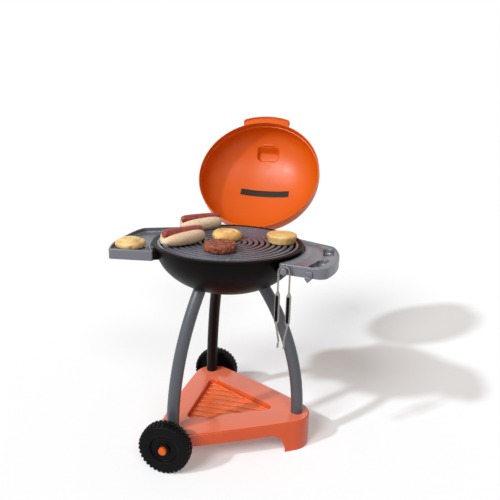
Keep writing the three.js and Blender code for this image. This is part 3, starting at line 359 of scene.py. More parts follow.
def addPiece(bm, name, finish, body, node, place=toRow, sharp=32, material=None):
    moved(bm, place)
    mesh = bpy.data.meshes.new(name)
    bm.to_mesh(mesh)
    bm.free()
    mesh.shade_smooth()
    mesh.set_sharp_from_angle(angle=radians(sharp))
    mesh.materials.append(material or finishes[finish])
    thing = bpy.data.objects.new(name, mesh)
    scene.collection.objects.link(thing)
    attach(thing, body)
    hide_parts(node)
    return thing


def smoothStep(value, low, high):
    share = max(0.0, min(1.0, (value - low) / (high - low)))
    return share * share * (3 - 2 * share)


def arc(centre, radius, start, end, steps):
    turns = [start + (end - start) * i / steps for i in range(steps + 1)]
    return [(centre[0] + radius * cos(a), centre[1] + radius * sin(a)) for a in turns]


def rounded(corners, steps=5, closed=True):
    # Corners are (x, y, radius). The two ends of an open line keep their points.
    points = []
    count = len(corners)
    for i, (x, y, radius) in enumerate(corners):
        if not radius or (not closed and i in (0, count - 1)):
            points.append((x, y))
            continue
        point = Vector((x, y))
        back = (Vector(corners[i - 1][:2]) - point).normalized()
        ahead = (Vector(corners[(i + 1) % count][:2]) - point).normalized()
        half = acos(max(-1, min(1, back.dot(ahead)))) / 2
        reach = radius / tan(half)
        centre = point + (back + ahead).normalized() * radius / sin(half)
        first = point + back * reach - centre
        last = point + ahead * reach - centre
        start = atan2(first.y, first.x)
        sweep = (atan2(last.y, last.x) - start + pi) % (2 * pi) - pi
        points += arc(centre, radius, start, start + sweep, steps)
    return points


def around(centres, radius, bulge=0.0, arcSteps=14, sideSteps=16):
    # The line round three circles, with its straight sides bulged a little.
    count = len(centres)
    turns = []
    for i, centre in enumerate(centres):
        along = Vector(centres[(i + 1) % count]) - Vector(centre)
        turns.append(atan2(along.y, along.x) - pi / 2)
    points = []
    for i, centre in enumerate(centres):
        start = turns[i - 1]
        sweep = (turns[i] - start) % (2 * pi)
        points += arc(centre, radius, start, start + sweep, arcSteps)
        normal = Vector((cos(turns[i]), sin(turns[i])))
        first = Vector(points[-1])
        last = Vector(centres[(i + 1) % count]) + normal * radius
        for k in range(1, sideSteps):
            t = k / sideSteps
            points.append(tuple(first.lerp(last, t) + normal * 4 * bulge * t * (1 - t)))
    return points


def filletSteps(radius, steps=5):
    # Pairs of inset and drop for a rounded upper edge, from its foot to its top.
    turns = [pi / 2 * i / steps for i in range(steps + 1)]
    return [(radius * (1 - cos(a)), radius * (1 - sin(a))) for a in turns]


def coveSteps(wide, high, steps):
    # Pairs of inset and rise for the round between a hollow's floor and its wall.
    turns = [pi / 2 * i / steps for i in range(steps + 1)]
    return [(wide * (1 - sin(a)), high * (1 - cos(a))) for a in turns]


bowl = {
    "rimHeight": 0.5485,
    "radius": 0.188,
    "depth": 0.129,
    "power": 2.1,
    "wall": 0.003,
    "rimRadius": 0.195,
    "flange": 0.005,
    "lip": 0.0018,
    "mouth": 0.183,
    "seatHeight": 0.54115,
    "seatWidth": 0.007,
    "seatThickness": 0.004,
    "lugTurns": (-32, 29),
    "lugWidth": 0.034,
    "lugLow": 0.5139,
    "lugHigh": 0.5378,
    "lugGap": 0.0004,
    "lugEdge": 0.0015,
    "collarWall": 0.0037,
    "collarSink": 0.014,
    "collarTaper": 0.001,
    "collarEdge": 0.0006,
    "webTurns": (-28, 26),
    "webGap": 0.0006,
    "webRaise": 0.003,
    "webEdge": 0.001,
}
rim = bowl["rimHeight"]


def bowlCurve(radius, depth, start, steps):
    power = 2 / bowl["power"]
    first = asin((start / depth) ** (1 / power))
    turns = [first + (pi / 2 - first) * i / steps for i in range(steps)]
    curve = [(radius * cos(a) ** power, rim - depth * sin(a) ** power) for a in turns]
    return curve + [(0.0, rim - depth)]


def bowlDepthAt(radius):
    share = radius / bowl["radius"]
    return bowl["depth"] * (1 - share ** bowl["power"]) ** (1 / bowl["power"])


leg = {
    "radius": 0.016,
    "circle": 0.195,
    "shift": 0.008,
    "turns": {"leg_front_left": -120, "leg_rear_left": 120, "leg_right": 0},
    "bottom": 0.0525,
    "topShare": 0.537,
    "topDrop": 0.0075,
    "socket": 0.028,
}


def legLine(turn):
    angle = radians(turn)
    out = Vector((cos(angle), sin(angle), 0))
    foot = out * leg["circle"] + Vector((leg["shift"], 0, 0))
    top = out * leg["topShare"] * bowl["radius"]
    inward = top - foot
    rise = rim - bowlDepthAt(top.length) - leg["topDrop"] - shelfTop
    bend = (rise**2 + inward.length**2) / (2 * inward.length)
    sweep = asin(rise / bend)
    step = inward.normalized()
    end = foot + step * bend * (1 - cos(sweep)) + Vector((0, 0, shelfTop + rise))
    return {
        "foot": foot,
        "inward": step,
        "bend": bend,
        "sweep": sweep,
        "end": end,
        "direction": step * sin(sweep) + Vector((0, 0, cos(sweep))),
    }


def legTube(line):
    bm = bmesh.new()
    ring = bmesh.ops.create_circle(bm, cap_ends=False, segments=40, radius=leg["radius"])["verts"]
    bmesh.ops.translate(bm, vec=line["foot"] + Vector((0, 0, leg["bottom"])), verts=ring)
    grown = bmesh.ops.extrude_edge_only(bm, edges=bm.edges[:])["geom"]
    tops = [part for part in grown if isinstance(part, bmesh.types.BMVert)]
    bmesh.ops.translate(bm, vec=(0, 0, shelfTop - leg["bottom"]), verts=tops)
    edges = [e for e in bm.edges if e.verts[0] in tops and e.verts[1] in tops]
    centre = line["foot"] + line["inward"] * line["bend"] + Vector((0, 0, shelfTop))
    bent = swept(bm, tops + edges, line["sweep"], 28, centre, Vector((0, 0, 1)).cross(line["inward"]))
    ends = [part for part in bent if isinstance(part, bmesh.types.BMEdge)]
    grown = bmesh.ops.extrude_edge_only(bm, edges=ends)["geom"]
    tops = [part for part in grown if isinstance(part, bmesh.types.BMVert)]
    bmesh.ops.translate(bm, vec=line["direction"] * leg["socket"], verts=tops)
    bmesh.ops.holes_fill(bm, edges=bm.edges, sides=0)
    bmesh.ops.recalc_face_normals(bm, faces=bm.faces)
    return bm


def cylinderFrom(start, direction, radius, length, edge=0.0, segments=40, thin=0.0):
    bm = bmesh.new()
    low = radius - thin
    bmesh.ops.create_cone(bm, cap_ends=True, segments=segments, radius1=low, radius2=radius, depth=length)
    if edge:
        softened(bm, edge, 3)
    turn = Vector((0, 0, 1)).rotation_difference(direction).to_matrix().to_4x4()
    return moved(bm, Matrix.Translation(start + direction * length / 2) @ turn)


def bowlShell():
    radius, depth, wall = bowl["radius"], bowl["depth"], bowl["wall"]
    seat, under = bowl["seatHeight"], bowl["seatHeight"] - bowl["seatThickness"]
    outer = bowlCurve(radius, depth, bowl["flange"], 44)[::-1]
    inner = bowlCurve(radius - wall, depth - wall, rim - seat + bowl["seatThickness"], 36)
    ledge = bowl["mouth"] - bowl["seatWidth"]
    edge = bowl["lip"]
    upper = [
        (*outer[-1], 0),
        (bowl["rimRadius"], rim - bowl["flange"], edge * 0.8),
        (bowl["rimRadius"], rim, edge),
        (bowl["mouth"], rim, edge * 0.5),
        (bowl["mouth"], seat, edge * 0.4),
        (ledge, seat, edge * 0.4),
        (ledge, under, edge * 0.4),
        (*inner[0], 0),
    ]
    return spun(outer[:-1] + rounded(upper, 4, closed=False) + inner[1:], 128)


def trayLug(side, turn):
    half = bowl["lugWidth"] / 2 / (tray["inner"] + tray["wall"])
    middle = radians(turn)
    outline = arc((0, 0), tray["inner"] - bowl["lugGap"], middle - half, middle + half, 6)
    outline += arc((0, 0), bowl["radius"] - bowl["seatWidth"], middle + half, middle - half, 2)
    lug = pushed([(side * x, y) for x, y in outline], bowl["lugLow"], bowl["lugHigh"])
    return softened(lug, bowl["lugEdge"])


def trayWeb():
    # A band on the bowl that fills the view between its rim and the right tray.
    first, last = (radians(turn) for turn in bowl["webTurns"])
    outline = arc((0, 0), tray["inner"] - bowl["webGap"], first, last, 24)
    outline += arc((0, 0), bowl["radius"] - bowl["seatWidth"], last, first, 24)
    return softened(pushed(outline, bowl["lugLow"] + bowl["webRaise"], bowl["lugHigh"]), bowl["webEdge"])


hinge = {
    "pinY": 0.198,
    "pinZ": 0.538,
    "spread": 0.048,
    "armWidth": 0.008,
    "armEye": 0.006,
    "earWidth": 0.004,
    "earEye": 0.005,
    "earDrop": 0.026,
    "earRoot": 0.006,
    "edge": 0.0009,
    "armInside": 0.1792,
}


def hingeEar(centre, edge):
    near = centre + edge * (hinge["armWidth"] / 2 + clearance)
    far = near + edge * hinge["earWidth"]
    eye = arc((hinge["pinY"], hinge["pinZ"]), hinge["earEye"], -pi / 2, pi / 2, 12)
    inside = bowl["radius"] - hinge["earRoot"]
    outline = [(inside, rim - hinge["earDrop"])] + eye + [(inside, hinge["pinZ"] + hinge["earEye"])]
    ear = pushed(outline, min(near, far), max(near, far))
    return softened(moved(ear, sideways), hinge["edge"])


tray = {
    "inner": 0.198,
    "reach": 0.091,
    "arcSide": 0.020,
    "arcForward": 0.033,
    "top": 0.5393,
    "bottom": 0.5134,
    "wall": 0.003,
    "rim": 0.005,
    "edge": 0.0022,
    "foot": 0.0008,
    "frontTurn": 8.5,
    "backTurn": 27.6,
    "frontShare": 0.5086,
    "backShare": 0.9586,
    "cornerInner": 0.005,
    "cornerFrontLeft": 0.008,
    "cornerFrontRight": 0.024,
    "cornerBack": 0.026,
    "leftDish": 0.008,
    "leftSoft": 0.0065,
    "leftRise": 0.006,
    "riseStart": -0.0135,
    "riseEnd": 0.067,
    "rightDish": 0.006,
    "rightShelf": 0.0022,
    "rightSlope": 0.016,
    "rightMargin": 0.026,
    "pocketTurns": (-18.4, 5),
    "pocketWidth": 0.026,
    "pocketLength": 0.074,
    "pocketDepth": 0.014,
    "pocketShare": 0.67,
    "pocketSoft": 0.009,
    "pocketLip": 0.0035,
}


def trayOutline(side, inset, outerInset=0.0):
    inner = tray["inner"] + inset
    middle = Vector((tray["arcSide"], -tray["arcForward"]))
    outer = tray["inner"] + tray["reach"] - tray["arcSide"] - inset - outerInset
    frontTurn, backTurn = radians(tray["frontTurn"]), radians(tray["backTurn"])
    front = Vector((-sin(frontTurn), -cos(frontTurn)))
    back = Vector((sin(backTurn), cos(backTurn)))

    def corner(normal, share, centre, radius, size, outwards):
        size = max(size - inset, 0.0008)
        distance = share * tray["inner"] - inset - size - centre.dot(normal)
        along = Vector((abs(normal.y), -copysign(1, normal.y) * normal.x))
        reach = sqrt((radius - outwards * size) ** 2 - distance**2)
        return centre + normal * distance + along * reach, size

    def angle(vector):
        return atan2(vector.y, vector.x)

    def fillet(place, size, start, end):
        first = angle(start)
        return arc(place, size, first, first + (angle(end) - first) % (2 * pi), 8)

    origin = Vector((0, 0))
    frontOuter = tray["cornerFrontRight"] if side > 0 else tray["cornerFrontLeft"]
    a, sizeA = corner(front, tray["frontShare"], origin, inner, tray["cornerInner"], -1)
    b, sizeB = corner(front, tray["frontShare"], middle, outer, frontOuter, 1)
    c, sizeC = corner(back, tray["backShare"], middle, outer, tray["cornerBack"], 1)
    d, sizeD = corner(back, tray["backShare"], origin, inner, tray["cornerInner"], -1)
    points = fillet(a, sizeA, -a, front)
    points += fillet(b, sizeB, front, b - middle)
    points += arc(middle, outer, angle(b - middle), angle(c - middle), 30)[1:-1]
    points += fillet(c, sizeC, c - middle, back)
    points += fillet(d, sizeD, back, -d)
    points += arc(origin, inner, angle(d), angle(a), 30)[1:-1]
    return [(side * x, y) for x, y in points]


def pocketOutline(turn, width):
    middle = tray["inner"] + tray["pocketShare"] * tray["reach"]
    half = (tray["pocketLength"] - tray["pocketWidth"]) / 2 / middle
    low, high = turn - half, turn + half
    points = arc((middle * cos(low), middle * sin(low)), width / 2, low - pi, low, 10)
    points += arc((0, 0), middle + width / 2, low, high, 8)[1:-1]
    points += arc((middle * cos(high), middle * sin(high)), width / 2, high, high + pi, 10)
    points += arc((0, 0), middle - width / 2, high, low, 8)[1:-1]
    return points


def trayBody(side):
    top, bottom, edge, foot = tray["top"], tray["bottom"], tray["edge"], tray["foot"]
    levels = [(trayOutline(side, foot), bottom), (trayOutline(side, 0), bottom + foot)]
    levels += [(trayOutline(side, inset), top - drop) for inset, drop in filletSteps(edge, 4)]
    body = stacked(levels)
    if side > 0:
        return body
    # The left tray's back wall rises, so its upper levels are lifted by how far back they lie.
    for vert in body.verts:
        if vert.co.z > top - edge - 1e-5:
            vert.co.z += tray["leftRise"] * smoothStep(vert.co.y, tray["riseStart"], tray["riseEnd"])
    return body


def dishCutter(side, depth, soft, margin, outerInset=0.0):
    levels = []
    for inset, rise in coveSteps(soft, min(soft, depth), 6):
        levels.append((trayOutline(side, margin + inset, outerInset), tray["top"] - depth + rise))
    levels.append((trayOutline(side, margin, outerInset), tray["top"] + 0.02))
    return stacked(levels)


def pocketCutter(turn, floor):
    width = tray["pocketWidth"]
    levels = []
    for inset, rise in coveSteps(tray["pocketSoft"], tray["pocketSoft"], 6):
        levels.append((pocketOutline(turn, width - 2 * inset), floor + rise))
    for inset, drop in filletSteps(tray["pocketLip"], 4)[1:]:
        levels.append((pocketOutline(turn, width + 2 * inset), tray["top"] - tray["rightShelf"] - drop))
    return stacked(levels + [(levels[-1][0], tray["top"] + 0.01)])


def sideTray(side):
    body, wall, step = trayBody(side), tray["wall"], tray["rightShelf"]
    if side > 0:
        depth = tray["rightDish"]
        body = combined(body, dishCutter(side, step, step, tray["rim"] - 0.001))
        body = combined(body, dishCutter(side, depth, tray["rightSlope"], tray["rim"], tray["rightMargin"]))
    else:
        depth = tray["leftDish"]
        body = combined(body, dishCutter(side, depth, tray["leftSoft"], tray["rim"]))
    floor = tray["top"] - depth
    body = combined(body, pushed(trayOutline(side, wall), tray["bottom"] - 0.01, floor - wall))
    if side > 0:
        low = floor - tray["pocketDepth"]
        turns = [radians(turn) for turn in tray["pocketTurns"]]
        for turn in turns:
            outline = pocketOutline(turn, tray["pocketWidth"] + 2 * wall)
            body = combined(body, pushed(outline, low - wall, floor - 0.001), "UNION")
        for turn in turns:
            body = combined(body, pocketCutter(turn, low))
    word = "right" if side > 0 else "left"
    return addPiece(body, "tray" + word.title(), "grey_plastic", "stand", "side_tray_" + word)


legLines = {name: legLine(turn) for name, turn in leg["turns"].items()}
body = bowlShell()
for line in legLines.values():
    length = leg["socket"] + bowl["collarWall"] - bowl["collarSink"]
    thin = bowl["collarWall"] + bowl["collarTaper"]
    wide = leg["radius"] + bowl["collarWall"]
    start = line["end"] + line["direction"] * bowl["collarSink"]
    unite(body, cylinderFrom(start, line["direction"], wide, length, bowl["collarEdge"], thin=thin))
for side in (-1, 1):
    unite(body, *[trayLug(side, turn) for turn in bowl["lugTurns"]])
    unite(body, *[hingeEar(side * hinge["spread"], edge) for edge in (-1, 1)])
unite(body, trayWeb())
addPiece(body, "bowlShell", "black_plastic", "stand", "fire_bowl")
for name, line in legLines.items():
    finish = "leg_black" if name == "leg_rear_left" else "leg_grey"
    addPiece(legTube(line), "tube" + name.title().replace("_", ""), finish, "stand", name)
sideTray(-1)
sideTray(1)
print("bowl, legs and trays made")


grate = {
    "radius": 0.182,
    "top": 0.5475,
    "thickness": 0.006,
    "slots": 11,
    "slotWidth": 0.006,
    "hub": 0.009,
    "border": 0.007,
    "spokes": 3,
    "spokeWidth": 0.010,
    "spokeTurn": -75,
    "edge": 0.0012,
}


def grateDisc():
    low = grate["top"] - grate["thickness"]
    disc = pushed(arc((0, 0), grate["radius"], 0, 2 * pi, 120)[:-1], low, grate["top"])
    gaps = bmesh.new()
    pitch = (grate["radius"] - grate["border"] - grate["hub"]) / grate["slots"]
    for ring in range(grate["slots"]):
        inner = grate["hub"] + (ring + 1) * pitch - grate["slotWidth"]
        outer = inner + grate["slotWidth"]
        steps = max(6, round(2 * outer / 0.0115))
        for k in range(grate["spokes"]):
            middle = radians(grate["spokeTurn"] + (k + 0.5) * 360 / grate["spokes"])
            half = pi / grate["spokes"]
            inside = half - asin(grate["spokeWidth"] / 2 / inner)
            outside = half - asin(grate["spokeWidth"] / 2 / outer)
            outline = arc((0, 0), outer, middle - outside, middle + outside, steps)
            outline += arc((0, 0), inner, middle + inside, middle - inside, steps)
            unite(gaps, pushed(outline, low - 0.01, grate["top"] + 0.01))
    disc = combined(disc, gaps)
    return softened(disc, grate["edge"], chosen=lambda e: abs(e.verts[0].co.z - e.verts[1].co.z) < 1e-6)


addPiece(grateDisc(), "grateDisc", "grate_grey", "grate", "cooking_grate")
print("grate made")


shelf = {
    "cornerRadius": 0.058,
    "bulge": 0.004,
    "wheelInset": 0.0315,
    "footInset": 0.023,
    "fillet": 0.005,
    "wall": 0.003,
    "skirt": 0.033,
    "socketLow": 0.0487,
    "socketWall": 0.0037,
    "socketEdge": 0.0008,
    "foot": 0.001,
    "archEnd": 0.186,
    "archReach": 0.036,
    "recess": [(-0.05975, -0.09345), (0.115, 0.0), (-0.05975, 0.09345)],
    "recessRadius": 0.016,
    "recessDepth": 0.0145,
    "recessLip": 0.0018,
    "recessFoot": 0.003,
    "recessLean": 0.004,
    "ribs": 9,
    "ribWidth": 0.0028,
    "ribHeight": 0.0036,
}


def shelfBody():
    insets = {"leg_front_left": "wheelInset", "leg_right": "footInset", "leg_rear_left": "wheelInset"}
    centres = []
    for name, inset in insets.items():
        turn = radians(leg["turns"][name])
        reach = leg["circle"] - shelf[inset]
        centres.append((leg["shift"] + reach * cos(turn), reach * sin(turn)))

    def outline(inset):
        return around(centres, shelf["cornerRadius"] - inset, shelf["bulge"])

    def well(grown):
        return around(shelf["recess"], shelf["recessRadius"] + grown)

    top, wall, start = shelfTop, shelf["wall"], shelf["foot"]
    hollowTop, hollowRound = top - wall, shelf["fillet"] - wall
    levels = [(outline(start), 0.0), (outline(0), start)]
    levels += [(outline(inset), top - drop) for inset, drop in filletSteps(shelf["fillet"], 6)]
    body = stacked(levels)
    levels = [(outline(wall), wall)]
    levels += [(outline(wall + inset), hollowTop - drop) for inset, drop in filletSteps(hollowRound, 3)]
    body = combined(body, stacked(levels))
    floor = top - shelf["recessDepth"]
    body = combined(body, pushed(well(wall), floor - wall, top - wall / 2), "UNION")
    foot, lean = shelf["recessFoot"], shelf["recessLean"]
    levels = [(well(-(lean + inset)), floor + rise) for inset, rise in coveSteps(foot, foot, 4)]
    levels += [(well(inset), top - drop) for inset, drop in filletSteps(shelf["recessLip"], 4)[1:]]
    body = combined(body, stacked(levels + [(levels[-1][0], top + 0.01)]))
    # The skirt is cut away behind the foot, with a quarter of an ellipse where the cut ends.
    arch, far = top - shelf["skirt"], 0.4
    turns = [pi / 2 * i / 14 for i in range(15)]
    curve = [(shelf["archEnd"] - shelf["archReach"] * (1 - cos(a)), arch * sin(a)) for a in turns]
    curve = [(-far, -0.01), (shelf["archEnd"], -0.01)] + curve + [(-far, arch)]
    body = combined(body, moved(pushed(curve, -far, far), upright))
    for line in legLines.values():
        start = line["foot"] + Vector((0, 0, shelf["socketLow"]))
        length = hollowTop - shelf["socketLow"] + 0.001
        radius = leg["radius"] + shelf["socketWall"]
        unite(body, cylinderFrom(start, Vector((0, 0, 1)), radius, length, shelf["socketEdge"]))
    return body


def insideWell(face):
    # Whether a face lies within the recess, seen from above.
    spot = face.calc_center_median()
    corners = [Vector(corner) for corner in shelf["recess"]]
    for first, second in zip(corners, corners[1:] + corners[:1]):
        side = second - first
        if side.x * (spot.y - first.y) - side.y * (spot.x - first.x) < -shelf["recessRadius"] * side.length:
            return False
    return True


def shelfRibs():
    floor, crest = shelfTop - shelf["recessDepth"], shelf["ribWidth"] / 2
    half = shelf["recess"][2][1] + shelf["recessRadius"]
    ribs = bmesh.new()
    for i in range(shelf["ribs"]):
        y = -half + 2 * half * (i + 0.5) / shelf["ribs"]
        side = [(y - crest, floor - 0.002), (y + crest, floor - 0.002)]
        crown = arc((y, floor + shelf["ribHeight"] - crest), crest, 0, pi, 8)
        unite(ribs, moved(pushed(side + crown, -0.15, 0.2), sideways))
    outline = around(shelf["recess"], shelf["recessRadius"] - shelf["recessLean"] + 0.002)
    return combined(ribs, pushed(outline, floor - 0.001, shelfTop), "INTERSECT")


moulding = unite(shelfBody(), shelfRibs())
moulding.normal_update()
sunk = shelfTop - shelf["recessDepth"]
for face in moulding.faces:
    # Painted light and sheen: the sunk floor and its ribs are painted paler than the walls, as if they caught
    # the light.
    high = face.calc_center_median().z
    level = sunk - 0.0003 < high < sunk + shelf["ribHeight"] + 0.0003
    if level and abs(face.normal.z) > 0.35 and insideWell(face):
        face.material_index = 1
body = addPiece(moulding, "shelfMoulding", "orange_plastic", "stand", "base_shelf", material=shelfOrange)
body.data.materials.append(wellOrangePaintedLight)
print("shelf made")


wheel = {
    "x": -0.0895,
    "inner": 0.2036,
    "radius": 0.0675,
    "width": 0.034,
    "treadDepth": 0.0030,
    "blocks": 34,
    "blockWidth": 0.0066,
    "blockEdge": 0.0010,
    "blockRoot": 0.003,
    "blockRows": ((0.0012, 0.0158), (0.0182, 0.0328)),
    "shoulderStart": 0.0055,
    "shoulderLean": 0.0016,
    "hubRecess": 0.0345,
    "hubRecessDepth": 0.008,
    "hubRadius": 0.015,
    "hubSet": 0.002,
    "bore": 0.00435,
    "capRadius": 0.010,
    "capHeight": 0.00899,
}


def wheelPlace(side, out):
    turn = Matrix.Rotation(pi / 2 if side < 0 else -pi / 2, 4, "X")
    return toRow @ Matrix.Translation((wheel["x"], side * out, wheel["radius"])) @ turn


def wheelBody():
    width, base = wheel["width"], wheel["radius"] - wheel["treadDepth"]
    web = width - wheel["hubRecessDepth"]
    profile = [
        (wheel["bore"], 0, 0),
        (wheel["hubRadius"], 0, 0.001),
        (wheel["hubRadius"], web - 0.008, 0.001),
        (base - 0.008, web - 0.008, 0.002),
        (base - 0.008, 0, 0.001),
        (base - 0.003, 0, 0.001),
        (base, 0.005, 0.002),
        (base, width - 0.005, 0.002),
        (base - 0.004, width, 0.0015),
        (wheel["hubRecess"] + 0.006, width - 0.0004, 0.003),
        (wheel["hubRecess"] + 0.002, width - 0.0022, 0.0015),
        (wheel["hubRecess"] - 0.001, web, 0.002),
        (wheel["hubRadius"] + 0.001, web, 0.0014),
        (wheel["hubRadius"], width - wheel["hubSet"], 0.0016),
        (wheel["bore"], width - wheel["hubSet"], 0),
    ]
    body = spun(rounded(profile, 5), 112, closed=True)
    for row, (low, high) in enumerate(wheel["blockRows"]):
        block = bmesh.new()
        inside, outside = base - wheel["blockRoot"], wheel["radius"] - clearance
        size = Matrix.Diagonal((outside - inside, wheel["blockWidth"], high - low, 1))
        place = Matrix.Translation(((inside + outside) / 2, 0, (low + high) / 2))
        bmesh.ops.create_cube(block, size=1, matrix=place @ size)
        softened(block, wheel["blockEdge"], 1)
        # Each row's outer shoulder leans in over the wheel's edge.
        for vert in block.verts:
            if (vert.co.z - 0.017) * (row - 0.5) > wheel["shoulderStart"]:
                vert.co.x -= wheel["shoulderLean"]
        offset = Matrix.Rotation(row * pi / wheel["blocks"], 3, "Z")
        bmesh.ops.rotate(block, cent=(0, 0, 0), matrix=offset, verts=block.verts)
        more = wheel["blocks"] - 1
        geom = block.verts[:] + block.edges[:] + block.faces[:]
        swept(block, geom, 2 * pi * more / wheel["blocks"], more, copied=True)
        unite(body, block)
    return body


def hubCap():
    radius, height = wheel["capRadius"], wheel["capHeight"]
    profile = [
        (0, 0, 0),
        (radius, 0, 0.0004),
        (radius, height * 0.88, 0.0016),
        (radius * 0.78, height * 0.985, 0.002),
        (0, height, 0),
    ]
    return spun(rounded(profile, 6, closed=False), 48)


for side, word, body in ((-1, "front", "front_wheel"), (1, "rear", "rear_wheel")):
    place = wheelPlace(side, wheel["inner"])
    addPiece(wheelBody(), "wheel" + word.title(), "black_plastic", body, "wheel_" + word, place, 40, rubber)
    place = wheelPlace(side, wheel["inner"] + wheel["width"] - wheel["hubSet"] + clearance)
    addPiece(hubCap(), "cap" + word.title(), "orange_plastic", "stand", "hub_cap_" + word, place)
print("wheels made")


peg = {
    "along": 0.021,
    "z": 0.52635,
    "radius": 0.0085,
    "neck": 0.004,
    "length": 0.022,
    "hookAlong": 0.078,
    "hookWidth": 0.015,
    "hookDepth": 0.012,
    "hookPlate": 0.003,
    "hookRise": 0.011,
    "hookDrop": 0.008,
    "hookHeight": 0.024,
    "hookGap": 0.0004,
    "hookEdge": 0.0005,
}


def facePlace(along, height):
    turn = radians(tray["frontTurn"])
    distance = tray["frontShare"] * tray["inner"]
    reach = sqrt(tray["inner"] ** 2 - distance**2) + along
    x = -sin(turn) * distance + reach * cos(turn)
    y = -cos(turn) * distance - reach * sin(turn)
    return toRow @ Matrix.Translation((x, y, height)) @ Matrix.Rotation(-turn, 4, "Z")


def toolPeg():
    profile = [
        (0, -0.003, 0),
        (peg["neck"], -0.003, 0),
        (peg["neck"], 0.0004, 0),
        (peg["radius"], 0.0004, 0.0006),
        (peg["radius"], peg["length"], 0.0022),
        (0, peg["length"], 0),
    ]
    return moved(spun(rounded(profile, 5, closed=False), 40), upright)


def toolHook():
    low = tray["bottom"] - peg["hookDrop"] - peg["z"]
    top = low + peg["hookHeight"]
    plate, depth, drop, gap = peg["hookPlate"], peg["hookDepth"], peg["hookDrop"], peg["hookGap"]
    lip = low + plate + peg["hookRise"]
    side = [
        (-gap, top, 0.0008),
        (-gap - plate, top, 0.0008),
        (-gap - plate, low + plate + drop, 0.001),
        (-gap - depth + plate, low + plate + drop, 0.001),
        (-gap - depth + plate, lip, 0.0008),
        (-gap - depth, lip, 0.0008),
        (-gap - depth, low, 0.001),
        (-gap, low, 0.001),
    ]
    half = peg["hookWidth"] / 2
    body = moved(pushed(rounded(side, 3), -half, half), sideways)
    corners = [(half, top, 0.002), (half, low + drop, 0.0015)]
    front = [(-x, z, r) for x, z, r in corners] + [(0, low, 0.0015)] + corners[::-1]
    cutter = moved(pushed(rounded(front, 4), -0.005, depth + 0.005), upright)
    return softened(combined(body, cutter, "INTERSECT"), peg["hookEdge"], angle=40)


place = facePlace(peg["along"], peg["z"])
addPiece(toolPeg(), "pegRound", "grey_plastic", "stand", "tool_peg", place)
place = facePlace(peg["hookAlong"], peg["z"])
addPiece(toolHook(), "hookPointed", "grey_plastic", "stand", "tool_hook", place)

tongs = {
    "strip": 0.0026,
    "width": 0.008,
    "out": 0.006,
    "bowRadius": 0.0125,
    "bowLeg": 0.012,
    "stem": 0.040,
    "grip": 0.076,
    "gripWidth": 0.0108,
    "insert": 0.0072,
    "insertProud": 0.0008,
    "insertEdge": 0.0009,
    "gripRound": 0.005,
    "lower": 0.062,
    "tipWidth": 0.007,
    "tipLength": 0.016,
    "tipInset": 0.008,
    "edge": 0.0007,
}


def hung(outline):
    # An outline in the front view, as deep as the tongs are.
    return moved(pushed(outline, tongs["out"], tongs["out"] + tongs["width"]), upright)


def tongsBow():
    inner, end = tongs["bowRadius"], -tongs["bowLeg"]
    outer = inner + tongs["strip"]
    outline = arc((0, 0), outer, 0, pi, 36) + [(-outer, end), (-inner, end)]
    outline += arc((0, 0), inner, pi, 0, 36) + [(inner, end), (outer, end)]
    return softened(hung(outline), tongs["edge"])


def tongsArm(side):
    top = -tongs["bowLeg"] - clearance
    gripTop = top - tongs["stem"]
    gripLow = gripTop - tongs["grip"]
    tipLow = gripLow - tongs["lower"]
    tipTop = tipLow + tongs["tipLength"]
    middle = tongs["bowRadius"] + tongs["strip"] / 2
    thin, wide, soft, lean = tongs["strip"] / 2, tongs["gripWidth"] / 2, tongs["gripRound"], tongs["tipInset"]
    tip, shoulder = tongs["tipWidth"] / 2, tipTop - tongs["tipLength"] / 4
    upper = [
        (thin, top, 0),
        (thin, gripTop + soft, 0.006),
        (wide, gripTop - soft, 0.006),
        (wide, gripLow + soft, 0.006),
        (thin, gripLow - soft, 0.006),
    ]
    lower = [
        (thin - lean, tipTop, 0.003),
        (tip - lean, shoulder, 0.003),
        (tip - lean, tipLow, 0.0012),
        (-tip - lean / 2, tipLow, 0.0012),
        (-tip - lean / 2, shoulder, 0.003),
        (-thin - lean, tipTop, 0.003),
    ]
    corners = upper + lower + [(-x, z, r) for x, z, r in upper[::-1]]
    outline = rounded([(side * (middle + x), z, r) for x, z, r in corners], 5)
    arm = softened(hung(outline), tongs["edge"], angle=50)
    low, high, half = gripLow + soft, gripTop - soft, tongs["insert"] / 2
    middle *= side
    pill = arc((middle, low + half), half, pi, 2 * pi, 10) + arc((middle, high - half), half, 0, pi, 10)
    near, far = tongs["out"] - tongs["insertProud"], tongs["out"] + tongs["width"] + tongs["insertProud"]
    return arm, softened(moved(pushed(pill, near, far), upright), tongs["insertEdge"], 3)


tongsPlace = facePlace(peg["along"], peg["z"] + peg["radius"] + clearance - tongs["bowRadius"])
addPiece(tongsBow(), "tongsStrip", "silver_plastic", "tongs", "tongs_bow", tongsPlace)
for side, word in ((-1, "left"), (1, "right")):
    arm, insert = tongsArm(side)
    body = "tongs_" + word
    addPiece(arm, "tongsBlade" + word.title(), "silver_plastic", body, "tongs_arm_" + word, tongsPlace)
    addPiece(insert, "tongsInsert" + word.title(), "black_plastic", body, "tongs_grip_" + word, tongsPlace)
print("tongs made")


